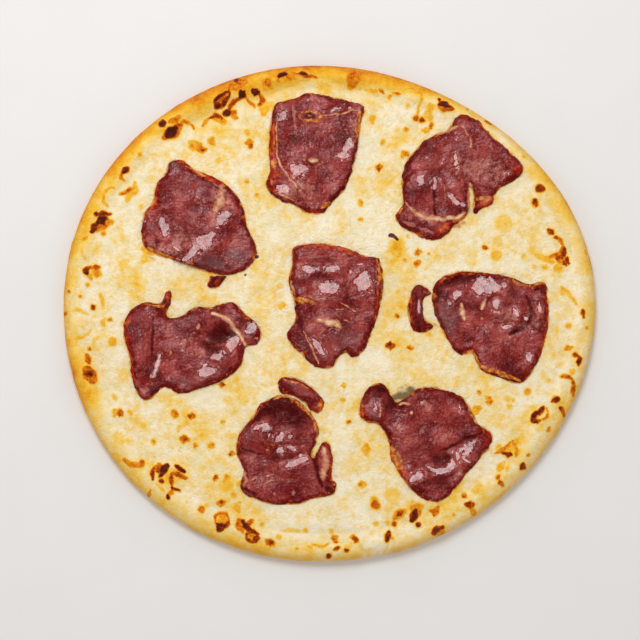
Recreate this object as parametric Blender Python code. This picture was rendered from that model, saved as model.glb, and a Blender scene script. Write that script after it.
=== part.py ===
"""Pastirma pizza: a thin round pizza with a puffed rim, a cover of melted cheese
and large curled slices of cured beef lying on the cheese.

Sizes are in millimetres, and MM turns them into Blender's metres.  The pizza lies
on its flat bottom, +Z up, seen from above with its far edge at +Y.  Shapes are laid
out round the middle of the dough's lobes; an empty moves them together so that the
middle of the pizza's box is the origin.
"""
import math

import bmesh
import bpy
import numpy as np
from mathutils import Vector, geometry

MM = 0.001
GAP = 0.35                # air between two pieces that lie on each other

# The dough's outline: a mean radius and slow lobes (times round, size, phase in degrees).
MEAN_RADIUS = 155.6
LOBES = ((1, 1.5, 146), (2, 4.3, -4), (3, 1.65, 27), (4, 0.44, 48), (5, 0.44, 67))
SEGMENTS = 128

# The rim's section, measured inwards from the outline.
RIM_FOOT_IN = 3.4         # where the dough leaves the table
RIM_SIDE_HEIGHT = 3.4     # height of the widest line
RIM_CREST_IN = 7.0
RIM_CREST_BARE = 9.8      # height of the crest where a wide rim is left bare
RIM_CREST_COVERED = 7.9   # lower where the cheese ran out over it
RIM_BARE_WIDTH = 12.0     # a bare rim as wide as this has its full height
RIM_END_IN = 17.0         # where the rim has come down to the floor of the dough
DOUGH_FLOOR = 4.8
OUTER_RINGS = (0.05, 0.18, 0.38, 0.62, 0.82)      # shares of the bare rim's width
INNER_RINGS = (0.0, 0.2, 0.42, 0.68, 1.0)         # shares of the covered slope

# The cheese: how far in from the outline it stops, at places round the pizza (degrees, mm).
CHEESE_STOPS = (
    (0, 3.5), (8, 7), (14, 11), (23, 11), (30, 6), (37, 3), (56, 3.2), (66, 6), (76, 10),
    (84, 14), (92, 9), (100, 13), (108, 17), (114, 13), (120, 16), (130, 12), (138, 4.5),
    (146, 9), (153, 6), (159, 10), (166, 4.5), (173, 8), (184, 3), (193, 13), (200, 12),
    (206, 5), (228, 3), (242, 5), (254, 6.5), (268, 11), (275, 10.5), (281, 3), (287, 10),
    (296, 9), (306, 5), (322, 3.2), (336, 5), (347, 8.5))
CHEESE_EDGE = 0.7         # thickness where it runs out
CHEESE_THICKNESS = 2.7
CHEESE_SWELL = 12.0       # way in from its edge over which it grows to its thickness
CHEESE_GRID = 8.5

# Slow waves of the cheese: length, direction in degrees, height, phase in radians.
CHEESE_WAVES = ((61, 25, 0.30, 0.4), (43, 100, 0.22, 2.0), (33, 155, 0.16, 4.1))

# Blisters baked into the rim and the cheese next to it:
# place as degrees and radius, length along the rim, width, height.
BLISTERS = (
    (12, 144, 17, 13, 1.2), (61, 143, 12, 9, 1.0), (69, 139, 15, 14, 0.9), (84, 145, 15, 14, 0.8),
    (96, 145, 12, 8, 0.9), (103, 145, 12, 9, 0.8), (108, 139, 8, 15, 1.2), (116, 145, 15, 9, 1.4),
    (128, 142, 13, 13, 0.9), (132, 146, 12, 14, 1.2), (140, 150, 17, 13, 0.9),
    (146, 148, 12, 12, 0.9), (153, 151, 13, 11, 0.8), (158, 147, 14, 12, 1.1),
    (166, 151, 17, 13, 1.0), (171, 146, 10, 12, 0.9), (184, 151, 17, 16, 1.3),
    (195, 149, 17, 13, 1.0), (207, 141, 13, 13, 0.9), (219, 149, 12, 13, 0.8),
    (227, 137, 26, 22, 2.2), (228, 153, 12, 10, 0.8), (243, 143, 12, 15, 1.1),
    (250, 141, 15, 17, 1.3), (256, 144, 10, 13, 0.9), (272, 142, 17, 15, 0.8),
    (281, 146, 15, 14, 1.0), (284, 141, 9, 12, 0.9), (292, 136, 13, 13, 0.8),
    (296, 149, 13, 10, 1.1), (306, 146, 10, 13, 0.9), (321, 137, 15, 14, 1.2),
    (332, 141, 15, 13, 1.4), (338, 148, 13, 15, 0.9), (349, 152, 15, 10, 0.8))

# The slices of cured beef.
SLICE_THICKNESS = 1.7
SLICE_EDGE = 1.0          # thickness at the cut edge
SLICE_ROLL = 3.0          # way in from the edge over which it grows to its thickness
SLICE_GRID = 5.2
SLICE_REACH = 2.4         # dips narrower than twice this are bridged
SLICE_WAVES = ((31, 70, 0.28, 1.0), (23, 150, 0.20, 3.0), (19, 15, 0.14, 5.2))

# Each slice: its outline from above, then its folds.  A fold runs from one point to
# another, rises or, when negative, sinks by a height, and fades out over a half width.
SLICES = {
    "slice_north_west": (
        ((-90, 91.5), (-82, 86), (-74, 82.5), (-67, 79), (-57, 71), (-51.5, 61), (-49.5, 50),
         (-44, 38), (-46, 28), (-55, 22), (-66, 21.2), (-80, 25), (-93, 30), (-109, 36.5),
         (-113, 46), (-111, 59), (-106, 65), (-104, 76), (-98.5, 84), (-96.5, 89.5)),
        ((-104, 76, -107, 60, 0.9, 6), (-84, 26, -65, 45, 1.5, 9), (-65, 45, -61, 60, 1.1, 8),
         (-94, 64, -95, 46, -0.6, 5))),
    "slice_north": (
        ((-32, 127), (-22, 129.5), (-14, 133), (-3, 132), (12, 128.3), (21, 125), (19.5, 116),
         (18, 104), (15, 90), (10, 75), (0, 63.5), (-4, 58.8), (-12, 58.8), (-20, 63.5),
         (-29, 66.5), (-38, 75.5), (-35.5, 84), (-36, 98), (-34.5, 118)),
        ((-29, 118, -28, 92, 1.1, 6), (-26, 88, -16, 72, 1.1, 6), (-16, 121, -8, 121, 1.3, 6),
         (16, 108, 9, 88, 0.9, 7))),
    "slice_north_east": (
        ((77.5, 117.5), (82.5, 119.5), (91, 115), (98, 107), (109, 97), (117.5, 86.5),
         (113, 79.5), (101, 74), (101.5, 65), (89, 60), (90, 67), (85.8, 76.5), (86.2, 68),
         (84, 58.5), (75, 50), (70, 45), (62, 42), (52, 46.5), (41, 54.5), (45.5, 65),
         (44.5, 74), (46.5, 88), (56, 101), (65, 107.5), (73, 110.5)),
        ((56, 84, 54, 66, 1.4, 9), (65, 82, 65, 60, -0.8, 5), (76, 92, 77, 66, 1.0, 8),
         (84, 110, 88, 97, 0.9, 6), (52, 53, 70, 48, 0.4, 5))),
    "slice_west": (
        ((-96, 11), (-95.3, 4), (-97.5, -4.5), (-91, -5.5), (-79, 1), (-70, 0.5), (-64, 3),
         (-57, 3.3), (-49, -5), (-42, -12), (-43, -21.5), (-50, -23), (-53, -34), (-63, -43),
         (-78, -48.5), (-89, -51.5), (-98, -47.5), (-109.5, -55), (-116, -46), (-119.5, -28),
         (-123, -11.5), (-118.5, -1), (-110, 3.7), (-101, 3.3)),
        ((-115, -8, -112, -42, 1.5, 8), (-104, -8, -104, -36, -0.5, 6),
         (-70, -14, -63, -16, -0.9, 8), (-68, -3, -53, -16, 1.3, 5), (-53, -16, -48, -14, 0.8, 5),
         (-76, -44, -57, -31, 1.5, 8))),
    "slice_middle": (
        ((-21, 37), (-14, 39), (-2, 39.3), (13, 36), (22, 31.5), (29.5, 30.5), (32, 21),
         (32.5, 13), (30, 0), (25.5, -14), (21, -25), (14.5, -29.3), (10.3, -26.3), (5, -30),
         (2, -35), (-8, -35), (-15, -28.5), (-22, -22), (-25, -16), (-20, -8), (-20.5, 4),
         (-24, 17), (-21.5, 29)),
        ((-16, 18, 12, 18, 1.2, 6), (26, 20, 27, 4, 1.4, 8), (-8, 6, 8, 6, 0.8, 5),
         (-11, -15, -2, -28, 1.2, 5), (-12, -2, 16, 0, -0.5, 5))),
    "slice_east": (
        ((62, 8), (66, 17), (80, 22.3), (97, 21.3), (110, 18.7), (120, 14.7), (130, 15.3),
         (131, 8), (131.5, -8), (128, -24), (122, -36.5), (114, -45), (100, -40.7), (91, -37),
         (85.5, -27), (78.5, -28), (70.5, -17), (64.5, -4)),
        ((82, 6, 104, 6, 1.5, 8), (71, 8, 75, -12, 1.0, 7), (120, 6, 118, -9, -0.8, 5),
         (118, -9, 106, -15, -0.8, 5), (127, 4, 125, -22, 1.2, 6), (96, -18, 112, -26, 0.9, 8))),
    "slice_south": (
        ((-35, -55), (-27, -52.5), (-18, -56.5), (-9, -66), (-6.3, -75), (-9.8, -90),
         (-2, -80.8), (2, -90), (1.5, -102), (4, -106), (2, -111.5), (-9, -114), (-21, -117.5),
         (-38, -116.3), (-52, -108.5), (-50.5, -98), (-54.5, -86), (-53, -76), (-46, -67),
         (-41, -58.5)),
        ((-30, -64, -18, -66, -0.7, 8), (-47, -80, -22, -81, 1.5, 7), (-50, -88, -38, -89, -0.7, 5),
         (-27, -98, -12, -95, 1.0, 5), (-2, -86, -1, -100, 1.1, 5), (-42, -108, -16, -108, 0.9, 8))),
    "slice_south_east": (
        ((27, -46.5), (33, -46.5), (39.5, -56.5), (45, -55), (54, -48.3), (70, -49.7),
         (80, -54.5), (84, -61), (88.5, -70), (96.8, -77.5), (90, -89.5), (80, -101),
         (66, -115.5), (55, -113.5), (44.5, -103), (36.3, -88.5), (36.5, -83.5), (30.5, -70.5),
         (22, -68), (18.3, -64), (21, -52.5)),
        ((28, -52, 26, -62, 1.2, 7), (88, -74, 72, -80, 1.1, 6), (64, -91, 69, -89, -1.1, 9),
         (62, -101, 80, -90, 1.3, 6), (48, -100, 58, -101, 0.9, 6), (50, -60, 66, -62, 0.9, 9))),
    "curl_east": (
        ((51.5, 13), (57, 13.3), (61, 9.3), (57, 7), (56, -1), (58, -7.5), (62, -10),
         (57.5, -13.8), (51, -13), (48, -4), (48.5, 5)),
        ((52, 9, 52, -9, 1.6, 5),)),
    "curl_south": (
        ((-28, -42.3), (-20, -42.5), (-10, -48.8), (-3, -56.5), (-6.3, -63), (-10.5, -61.5),
         (-14.5, -57), (-20.5, -52.8), (-29, -50.2), (-29.8, -45)),
        ((-24, -46, -8, -56, 1.7, 5),)),
    "scrap_west": (
        ((-71, 19.2), (-62, 19.6), (-64, 16.5), (-66.5, 13.5), (-70, 12.3), (-73, 14),
         (-72, 17)),
        ()),
}

COLOURS = {               # base colour, roughness
    "crust": ((0.78, 0.44, 0.13), 0.65),
    "cheese": ((0.88, 0.74, 0.46), 0.40),
    "beef": ((0.26, 0.065, 0.06), 0.30),
}


def lobe_radius(angle):
    """Radius of the dough's outline."""
    lobes = (size * math.cos(times * angle - math.radians(phase)) for times, size, phase in LOBES)
    return MEAN_RADIUS + sum(lobes)


def outline_centre(steps=720):
    """Middle of the box that the dough's outline fills."""
    angles = [2 * math.pi * step / steps for step in range(steps)]
    xs = [lobe_radius(angle) * math.cos(angle) for angle in angles]
    ys = [lobe_radius(angle) * math.sin(angle) for angle in angles]
    return (min(xs) + max(xs)) / 2, (min(ys) + max(ys)) / 2


def cheese_stop(angle):
    """How far in from the outline the cheese stops, eased between the listed places."""
    degrees = math.degrees(angle) % 360
    stops = CHEESE_STOPS + ((CHEESE_STOPS[0][0] + 360, CHEESE_STOPS[0][1]),)
    for (start, near), (end, far) in zip(stops, stops[1:]):
        if start <= degrees < end:
            share = (degrees - start) / (end - start)
            return near + (far - near) * (1 - math.cos(math.pi * share)) / 2
    return stops[0][1]


def smooth(value):
    """0 below 0, 1 above 1 and an even S between."""
    value = min(max(value, 0.0), 1.0)
    return value * value * (3 - 2 * value)


def waves(x, y, wave_list):
    """Height of a few crossing waves."""
    total = 0.0
    for length, degrees, height, phase in wave_list:
        way = x * math.cos(math.radians(degrees)) + y * math.sin(math.radians(degrees))
        total += height * math.sin(2 * math.pi * way / length + phase)
    return total


def rim_section(angle, way_in):
    """Height of the plain dough at a distance in from the outline."""
    puffed = smooth(cheese_stop(angle) / RIM_BARE_WIDTH)
    crest = RIM_CREST_COVERED + (RIM_CREST_BARE - RIM_CREST_COVERED) * puffed
    if way_in <= RIM_CREST_IN:
        across = (RIM_CREST_IN - max(way_in, 0.0)) / RIM_CREST_IN
        return RIM_SIDE_HEIGHT + (crest - RIM_SIDE_HEIGHT) * math.sqrt(1 - across ** 2)
    fall = smooth((way_in - RIM_CREST_IN) / (RIM_END_IN - RIM_CREST_IN))
    return crest + (DOUGH_FLOOR - crest) * fall


def blister_height(x, y):
    """Height that the blisters add at a point."""
    angle, radius = math.atan2(y, x), math.hypot(x, y)
    total = 0.0
    for degrees, place, length, width, rise in BLISTERS:
        turn = (angle - math.radians(degrees) + math.pi) % (2 * math.pi) - math.pi
        along = turn * place / (length / 2)
        across = (radius - place) / (width / 2)
        total = max(total, rise * max(0.0, 1 - along ** 2 - across ** 2) ** 1.5)
    return total


def dough_top(x, y):
    """Top of the dough; its blisters show only where no cheese covers it."""
    angle = math.atan2(y, x)
    way_in = lobe_radius(angle) - math.hypot(x, y)
    bare = smooth((cheese_stop(angle) - way_in) / 3.0)
    return rim_section(angle, way_in) + bare * blister_height(x, y)


def cheese_top(x, y):
    """Top of the melted cheese."""
    angle = math.atan2(y, x)
    way_in = lobe_radius(angle) - math.hypot(x, y)
    swell = smooth((way_in - cheese_stop(angle)) / CHEESE_SWELL)
    thickness = CHEESE_EDGE + (CHEESE_THICKNESS - CHEESE_EDGE) * swell
    thickness += swell * waves(x, y, CHEESE_WAVES) + min(1.0, 4 * swell) * blister_height(x, y)
    return rim_section(angle, way_in) + GAP + thickness


def slice_rest(x, y):
    """Height at which a slice rests: it is stiff, so it bridges the dips round a point."""
    around = [2 * math.pi * k / 6 for k in range(6)]
    heights = [cheese_top(x + SLICE_REACH * math.cos(angle), y + SLICE_REACH * math.sin(angle))
               for angle in around]
    return max(cheese_top(x, y), *heights) + GAP


def fold_height(x, y, folds):
    """Height that a slice's folds add at a point."""
    total = 0.0
    for x0, y0, x1, y1, rise, half_width in folds:
        run = Vector((x1 - x0, y1 - y0))
        along = ((x - x0) * run.x + (y - y0) * run.y) / run.length_squared
        along = min(max(along, 0.0), 1.0)
        away = math.hypot(x - x0 - along * run.x, y - y0 - along * run.y)
        total += rise * smooth(1 - away / half_width)
    return total


def closed_curve(points, spacing):
    """Points about `spacing` apart on a smooth closed curve through the given ones."""
    knots = [Vector((x, y, 0)) for x, y in points]
    count = len(knots)
    heads = [(knots[(k + 1) % count] - knots[k - 1]).normalized() for k in range(count)]
    curve = []
    for k in range(count):
        start, end = knots[k], knots[(k + 1) % count]
        reach = (end - start).length / 3
        steps = max(1, round(3 * reach / spacing))
        bend = geometry.interpolate_bezier(
            start, start + heads[k] * reach, end - heads[(k + 1) % count] * reach, end, steps + 1)
        curve += [(point.x, point.y) for point in bend[:-1]]
    return curve


def edge_distance(points, loop):
    """Distance of each point to the loop, positive inside it."""
    points, start = np.array(points, float), np.array(loop, float)
    end = np.roll(start, -1, axis=0)
    run = end - start
    offset = points[:, None, :] - start[None]
    share = np.clip((offset * run).sum(2) / (run ** 2).sum(1), 0, 1)
    away = np.linalg.norm(offset - share[..., None] * run, axis=2).min(1)
    above = (start[:, 1] > points[:, 1, None]) != (end[:, 1] > points[:, 1, None])
    rise = np.where(run[:, 1] == 0, 1.0, run[:, 1])
    crossing = start[:, 0] + (points[:, 1, None] - start[:, 1]) * run[:, 0] / rise
    inside = (above & (points[:, 0, None] < crossing)).sum(1) % 2 == 1
    return np.where(inside, away, -away)


def filled_loop(loop, grid):
    """Even triangles inside a loop: its own points first, then the inner points."""
    corner = np.min(loop, axis=0)
    columns, rows = np.ceil((np.max(loop, axis=0) - corner) / (grid, grid * 0.866)).astype(int)
    lattice = [(corner[0] + grid * (column + 0.5 * (row % 2)), corner[1] + grid * 0.866 * row)
               for row in range(rows + 1) for column in range(columns + 1)]
    deep = edge_distance(lattice, loop) > 0.55 * grid
    flat = [Vector(point) for point in loop]
    flat += [Vector(point) for point, keep in zip(lattice, deep) if keep]
    ring = list(range(len(loop)))
    found = geometry.delaunay_2d_cdt(flat, [], [ring], 1, 1e-6)
    origin = [sources[0] for sources in found[3]]
    triangles = [[origin[corner] for corner in face] for face in found[2]]
    return [(point.x, point.y) for point in flat], triangles


def make_object(name, points, faces, colour, parent):
    """A named closed mesh with its own material, faces pointing out."""
    mesh = bpy.data.meshes.new(name)
    mesh.from_pydata([Vector(point) * MM for point in points], [], faces)
    work = bmesh.new()
    work.from_mesh(mesh)
    bmesh.ops.recalc_face_normals(work, faces=work.faces)
    work.to_mesh(mesh)
    work.free()
    mesh.shade_smooth()
    base, roughness = COLOURS[colour]
    material = bpy.data.materials.new(name)
    material.use_nodes = True
    shader = material.node_tree.nodes["Principled BSDF"]
    shader.inputs["Base Color"].default_value = (*base, 1)
    shader.inputs["Roughness"].default_value = roughness
    mesh.materials.append(material)
    piece = bpy.data.objects.new(name, mesh)
    piece.parent = parent
    bpy.context.collection.objects.link(piece)
    return piece


def ring_points(way_in_of, height_of):
    """One ring round the pizza; both functions may vary with the angle."""
    ring = []
    for segment in range(SEGMENTS):
        angle = 2 * math.pi * segment / SEGMENTS
        radius = lobe_radius(angle) - way_in_of(angle)
        x, y = radius * math.cos(angle), radius * math.sin(angle)
        ring.append((x, y, height_of(x, y)))
    return ring


def bridge(outer, inner):
    """Triangles between two rings of SEGMENTS points, given by their first indices."""
    faces = []
    for k in range(SEGMENTS):
        after = (k + 1) % SEGMENTS
        faces += [(outer + k, outer + after, inner + after), (outer + k, inner + after, inner + k)]
    return faces


def covered_way_in(share):
    """Distance in from the outline, at a share of the slope under the cheese."""
    return lambda angle: cheese_stop(angle) + share * (RIM_END_IN - cheese_stop(angle))


def build_crust(parent):
    """The dough: flat bottom, puffed rim and a flat floor under the cheese."""
    rings = [ring_points(lambda angle: RIM_FOOT_IN, lambda x, y: 0.0),
             ring_points(lambda angle: RIM_FOOT_IN * 0.3, lambda x, y: RIM_SIDE_HEIGHT * 0.25),
             ring_points(lambda angle: 0.0, lambda x, y: RIM_SIDE_HEIGHT)]
    for share in OUTER_RINGS:
        rings.append(ring_points(lambda angle: share * cheese_stop(angle), dough_top))
    for share in INNER_RINGS:
        rings.append(ring_points(covered_way_in(share), dough_top))
    points = [point for ring in rings for point in ring]
    faces = [tuple(range(SEGMENTS))]
    for lower in range(len(rings) - 1):
        faces += bridge(lower * SEGMENTS, (lower + 1) * SEGMENTS)
    faces.append(tuple(range(len(points) - SEGMENTS, len(points))))
    return make_object("crust", points, faces, "crust", parent)


def build_cheese(parent):
    """The cheese: its underside keeps the dough's rings, its top has the waves."""
    rest = [ring_points(covered_way_in(share), lambda x, y: dough_top(x, y) + GAP)
            for share in INNER_RINGS]
    top = [ring_points(covered_way_in(share), cheese_top) for share in INNER_RINGS[:-1]]
    rings = top[::-1] + rest
    points = [point for ring in rings for point in ring]
    faces = []
    for lower in range(len(rings) - 1):
        faces += bridge(lower * SEGMENTS, (lower + 1) * SEGMENTS)
    faces.append(tuple(range(len(points) - SEGMENTS, len(points))))
    loop = [(x, y) for x, y, z in ring_points(covered_way_in(1.0), cheese_top)]
    flat, triangles = filled_loop(loop, CHEESE_GRID)
    first = len(points)
    points += [(x, y, cheese_top(x, y)) for x, y in flat]
    faces += bridge(0, first)
    faces += [tuple(first + corner for corner in triangle) for triangle in triangles]
    return make_object("cheese", points, faces, "cheese", parent)


def build_slice(name, outline, folds, parent):
    """A slice of beef lying on the cheese, thicker along its folds."""
    loop = closed_curve(outline, SLICE_GRID)
    flat, triangles = filled_loop(loop, SLICE_GRID)
    depths = edge_distance(flat, loop)
    lower, upper = [], []
    for (x, y), depth in zip(flat, depths):
        rest = slice_rest(x, y)
        grown = smooth(depth / SLICE_ROLL)
        relief = waves(x, y, SLICE_WAVES) + fold_height(x, y, folds)
        thickness = SLICE_EDGE + (SLICE_THICKNESS - SLICE_EDGE) * grown + grown * relief
        lower.append((x, y, rest))
        upper.append((x, y, rest + max(thickness, 0.7)))
    count, edge = len(flat), len(loop)
    faces = [tuple(corner + count for corner in triangle) for triangle in triangles]
    faces += [tuple(reversed(triangle)) for triangle in triangles]
    faces += [(k, (k + 1) % edge, count + (k + 1) % edge, count + k) for k in range(edge)]
    return make_object(name, lower + upper, faces, "beef", parent)


def main():
    for thing in list(bpy.data.objects):
        bpy.data.objects.remove(thing, do_unlink=True)
    middle_x, middle_y = outline_centre()
    pizza = bpy.data.objects.new("pizza", None)
    bpy.context.collection.objects.link(pizza)
    pizza.location = (-middle_x * MM, -middle_y * MM, 0)
    build_crust(pizza)
    build_cheese(pizza)
    for name, (outline, folds) in SLICES.items():
        build_slice(name, outline, folds, pizza)


main()
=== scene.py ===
# %% [markdown]
# # A pastirma pizza, seen from above
# The object is a thin round pizza, a little wider than it is deep. Its dough puffs up into
# a low golden rim, a cover of melted white cheese fills it, and eight large slices of cured
# beef lie on the cheese with a few curled strips of the same beef.
# The measured solids come first. They fix the size and the place of every piece, and each
# piece built here is a finer version of one of them, lying in the same place.

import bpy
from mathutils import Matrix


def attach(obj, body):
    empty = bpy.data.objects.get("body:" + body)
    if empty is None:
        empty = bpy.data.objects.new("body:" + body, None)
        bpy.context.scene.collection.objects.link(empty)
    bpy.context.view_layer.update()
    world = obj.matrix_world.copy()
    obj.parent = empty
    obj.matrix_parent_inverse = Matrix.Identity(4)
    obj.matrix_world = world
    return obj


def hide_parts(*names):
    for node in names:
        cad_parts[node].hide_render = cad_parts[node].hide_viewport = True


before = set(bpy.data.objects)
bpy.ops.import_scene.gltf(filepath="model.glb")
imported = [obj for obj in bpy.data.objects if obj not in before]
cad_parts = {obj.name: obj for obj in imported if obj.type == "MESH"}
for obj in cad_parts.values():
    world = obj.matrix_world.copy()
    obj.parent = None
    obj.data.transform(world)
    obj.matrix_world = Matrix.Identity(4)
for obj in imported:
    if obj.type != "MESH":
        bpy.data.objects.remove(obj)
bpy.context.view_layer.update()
print("solids:", sorted(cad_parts))

# %% [markdown]
# ## Sizes in millimetres
# Every size here is in millimetres and is multiplied by MM when a mesh is made. The dough's
# outline is a circle with a few slow lobes: a cosine that goes round once, twice or more
# times. It stays smooth with a few numbers, where a drawn curve would need dozens of points.
# MIDDLE moves the shapes to the middle of the box that the outline fills.

# %% The outline of the dough
import math

import bpy
import numpy as np
from mathutils import Vector, geometry

MM = 0.001
MEAN_RADIUS = 155.6
LOBES = ((1, 1.5, 146), (2, 4.3, -4), (3, 1.65, 27), (4, 0.44, 48), (5, 0.44, 67))


def smooth(value):
    """0 below 0, 1 above 1 and an even S between."""
    value = np.clip(value, 0.0, 1.0)
    return value * value * (3 - 2 * value)


def outline_radius(angle):
    """Radius of the dough's outline."""
    return MEAN_RADIUS + sum(
        size * np.cos(times * angle - math.radians(phase)) for times, size, phase in LOBES)


def on_circle(angle, radius):
    """Points at an angle and a radius."""
    return np.stack([radius * np.cos(angle), radius * np.sin(angle)], -1)


def round_angles(count):
    """Angles spread evenly once round."""
    return np.linspace(0, 2 * np.pi, count, endpoint=False)


outline = on_circle(round_angles(720), outline_radius(round_angles(720)))
MIDDLE = (outline.min(0) + outline.max(0)) / 2
print("outline:", np.round(outline.max(0) - outline.min(0), 1), "mm, middle", MIDDLE.round(2))

# %% [markdown]
# ## Where the lamp and the viewer are
# A facet of oily meat mirrors the lamp only where it leans just halfway between the lamp
# and the viewer. Both places are therefore settled before any shape. The lamp stands at
# the far side, a little to the left, and the viewer almost overhead.

# %% Places of the lamp and the viewer
LAMP_LEAN, LAMP_TURN, LAMP_AWAY = 29.0, -19.0, 1100.0
VIEW_ELEVATION, VIEW_AWAY = 80.0, 1386.7
AIM = np.array((-5.3, -6.9, 8.0))
MEAT_LEVEL = 10.0


def direction(lean, turn):
    """A unit vector that leans from straight up, turned from the far side to the right."""
    lean, turn = math.radians(lean), math.radians(turn)
    return np.array((math.sin(lean) * math.sin(turn), math.sin(lean) * math.cos(turn),
                     math.cos(lean)))


LAMP_PLACE = LAMP_AWAY * direction(LAMP_LEAN, LAMP_TURN)
VIEW_PLACE = AIM + VIEW_AWAY * direction(90 - VIEW_ELEVATION, 180)


def mirror_slope(place):
    """Slope of a facet at (x, y) that mirrors the lamp to the viewer."""
    here = np.array((place[0], place[1], MEAT_LEVEL))
    to_lamp, to_view = LAMP_PLACE - here, VIEW_PLACE - here
    half = to_lamp / np.linalg.norm(to_lamp) + to_view / np.linalg.norm(to_view)
    return -half[:2] / half[2]


print("mirroring slope in the middle:", mirror_slope((0, 0)).round(3))

# %% [markdown]
# ## Unevenness
# Nothing baked is even. `hills` gives the same soft random bumps on every run: random
# heights on a square lattice, joined by smooth slopes. `rough` adds a few of them up. The
# meshes use it for relief, while the finest grain is left to the materials.

# %% Soft random hills
LATTICE_SIZE, LATTICE_START = 101, 5000


def hills(x, y, size, seed):
    """Random smooth hills about `size` wide, from -1 to 1."""
    table = np.random.default_rng(seed).uniform(-1, 1, (LATTICE_SIZE, LATTICE_SIZE))
    across = np.asarray(x) / size + LATTICE_START
    along = np.asarray(y) / size + LATTICE_START
    column, row = np.floor(across).astype(int), np.floor(along).astype(int)
    right, up = smooth(across - column), smooth(along - row)

    def corner(step_right, step_up):
        return table[(column + step_right) % LATTICE_SIZE, (row + step_up) % LATTICE_SIZE]

    low = corner(0, 0) * (1 - right) + corner(1, 0) * right
    high = corner(0, 1) * (1 - right) + corner(1, 1) * right
    return low * (1 - up) + high * up


def rough(x, y, *layers):
    """Hills added up, each layer given by its height, its size and its seed."""
    return sum(height * hills(x, y, size, seed) for height, size, seed in layers)


print("hills:", hills(np.arange(4), 0, 3.0, 1).round(2))

# %% [markdown]
# ## Where the cheese stops
# The cheese stops at a different distance from the edge all the way round, and only at one
# place, at the near side, has it run right over the rim. A list gives the distance at some
# angles, and `read_round` eases from one to the next.

# %% The cheese's reach
CHEESE_STOPS = (
    (0,3.5), (8,7), (14,11), (23,11), (30,6), (37,3), (56,3.2), (66,6), (76,10), (84,14), (92,9),
    (100,13), (108,17), (114,13), (120,16), (130,12), (138,4.5), (146,9), (153,6), (159,10), (166,4.5),
    (173,8), (184,3), (193,13), (200,12), (206,5), (228,3), (242,5), (254,6.5), (268,11), (276.4,10.5),
    (278.6,2.5), (283,2.5), (285.2,10), (296,9), (306,5), (322,3.2), (336,5), (347,8.5), (360,3.5))


def read_round(places, degrees):
    """A value listed at some angles, eased between them."""
    at, values = np.array(places, float).T
    after = np.clip(np.searchsorted(at, degrees, side="right"), 1, len(at) - 1)
    share = (degrees - at[after - 1]) / (at[after] - at[after - 1])
    return values[after - 1] + (values[after] - values[after - 1]) * smooth(share)


def cheese_stop(angle):
    """How far in from the outline the cheese stops."""
    return read_round(CHEESE_STOPS, np.degrees(angle) % 360)


def polar(x, y):
    """Angle of a point, and its distance in from the outline."""
    angle = np.arctan2(y, x)
    return angle, outline_radius(angle) - np.hypot(x, y)


print("the cheese stops", cheese_stop(math.radians(280)), "mm in at the near side")

# %% [markdown]
# ## The dough's section
# From the table upwards the rim leaves its foot, swells to its widest line, rises to a low
# crest and comes down to a flat floor under the cheese. The crest is higher where more of
# the rim is left bare, because cheese weighs the dough down while it rises.

# %% Heights of the dough
RIM_FOOT_IN = 3.4
RIM_SIDE_HEIGHT = 3.4
RIM_CREST_IN = 7.0
RIM_CREST_BARE, RIM_CREST_COVERED = 9.8, 7.9
RIM_BARE_WIDTH = 12.0
RIM_END_IN = 17.0
DOUGH_FLOOR = 4.8


def rim_section(angle, way_in):
    """Height of the plain dough at a distance in from the outline."""
    puffed = smooth(cheese_stop(angle) / RIM_BARE_WIDTH)
    crest = RIM_CREST_COVERED + (RIM_CREST_BARE - RIM_CREST_COVERED) * puffed
    across = np.clip((RIM_CREST_IN - way_in) / RIM_CREST_IN, 0, 1)
    rise = RIM_SIDE_HEIGHT + (crest - RIM_SIDE_HEIGHT) * np.sqrt(1 - across ** 2)
    fall = crest + (DOUGH_FLOOR - crest) * smooth(
        (way_in - RIM_CREST_IN) / (RIM_END_IN - RIM_CREST_IN))
    return np.where(way_in <= RIM_CREST_IN, rise, fall)


print("section at 90 degrees:", rim_section(math.pi / 2, np.array([0, 3, 7, 12, 17])).round(1))

# %% [markdown]
# ## Blisters
# Steam lifts small domes, mostly near the rim. Each is given by its angle, its radius, its
# length along the rim, its width and its height. The same domes lift the dough and the
# cheese on it, so the two never part.

# %% Domes lifted by steam
BLISTERS = (
    (12,144, 17, 13, 1.2), (61,143, 12, 9, 1.0), (69,139, 15, 14, 0.9), (84,145, 15, 14, 0.8),
    (96,145, 12, 8, 0.9), (103,145, 12, 9, 0.8), (108,139, 8, 15, 1.2), (116,145, 15, 9, 1.4),
    (128,142, 13, 13, 0.9), (132,146, 12, 14, 1.2), (140,150, 17, 13, 0.9), (146,148, 12, 12, 0.9),
    (153,151, 13, 11, 0.8), (158,147, 14, 12, 1.1), (166,151, 17, 13, 1.0), (171,146, 10, 12, 0.9),
    (184,151, 17, 16, 1.3), (195,149, 17, 13, 1.0), (207,141, 13, 13, 0.9), (219,149, 12, 13, 0.8),
    (227,137, 26, 22, 2.2), (228,153, 12, 10, 0.8), (243,143, 12, 15, 1.1), (250,141, 15, 17, 1.3),
    (256,144, 10, 13, 0.9), (272,142, 17, 15, 0.8), (281,146, 15, 14, 1.0), (284,141, 9, 12, 0.9),
    (292,136, 13, 13, 0.8), (296,149, 13, 10, 1.1), (306,146, 10, 13, 0.9), (321,137, 15, 14, 1.2),
    (332,141, 15, 13, 1.4), (338,148, 13, 15, 0.9), (349,152, 15, 10, 0.8))
DOUGH_UNEVEN = ((0.22, 11, 3), (0.10, 4.5, 4))


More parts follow.
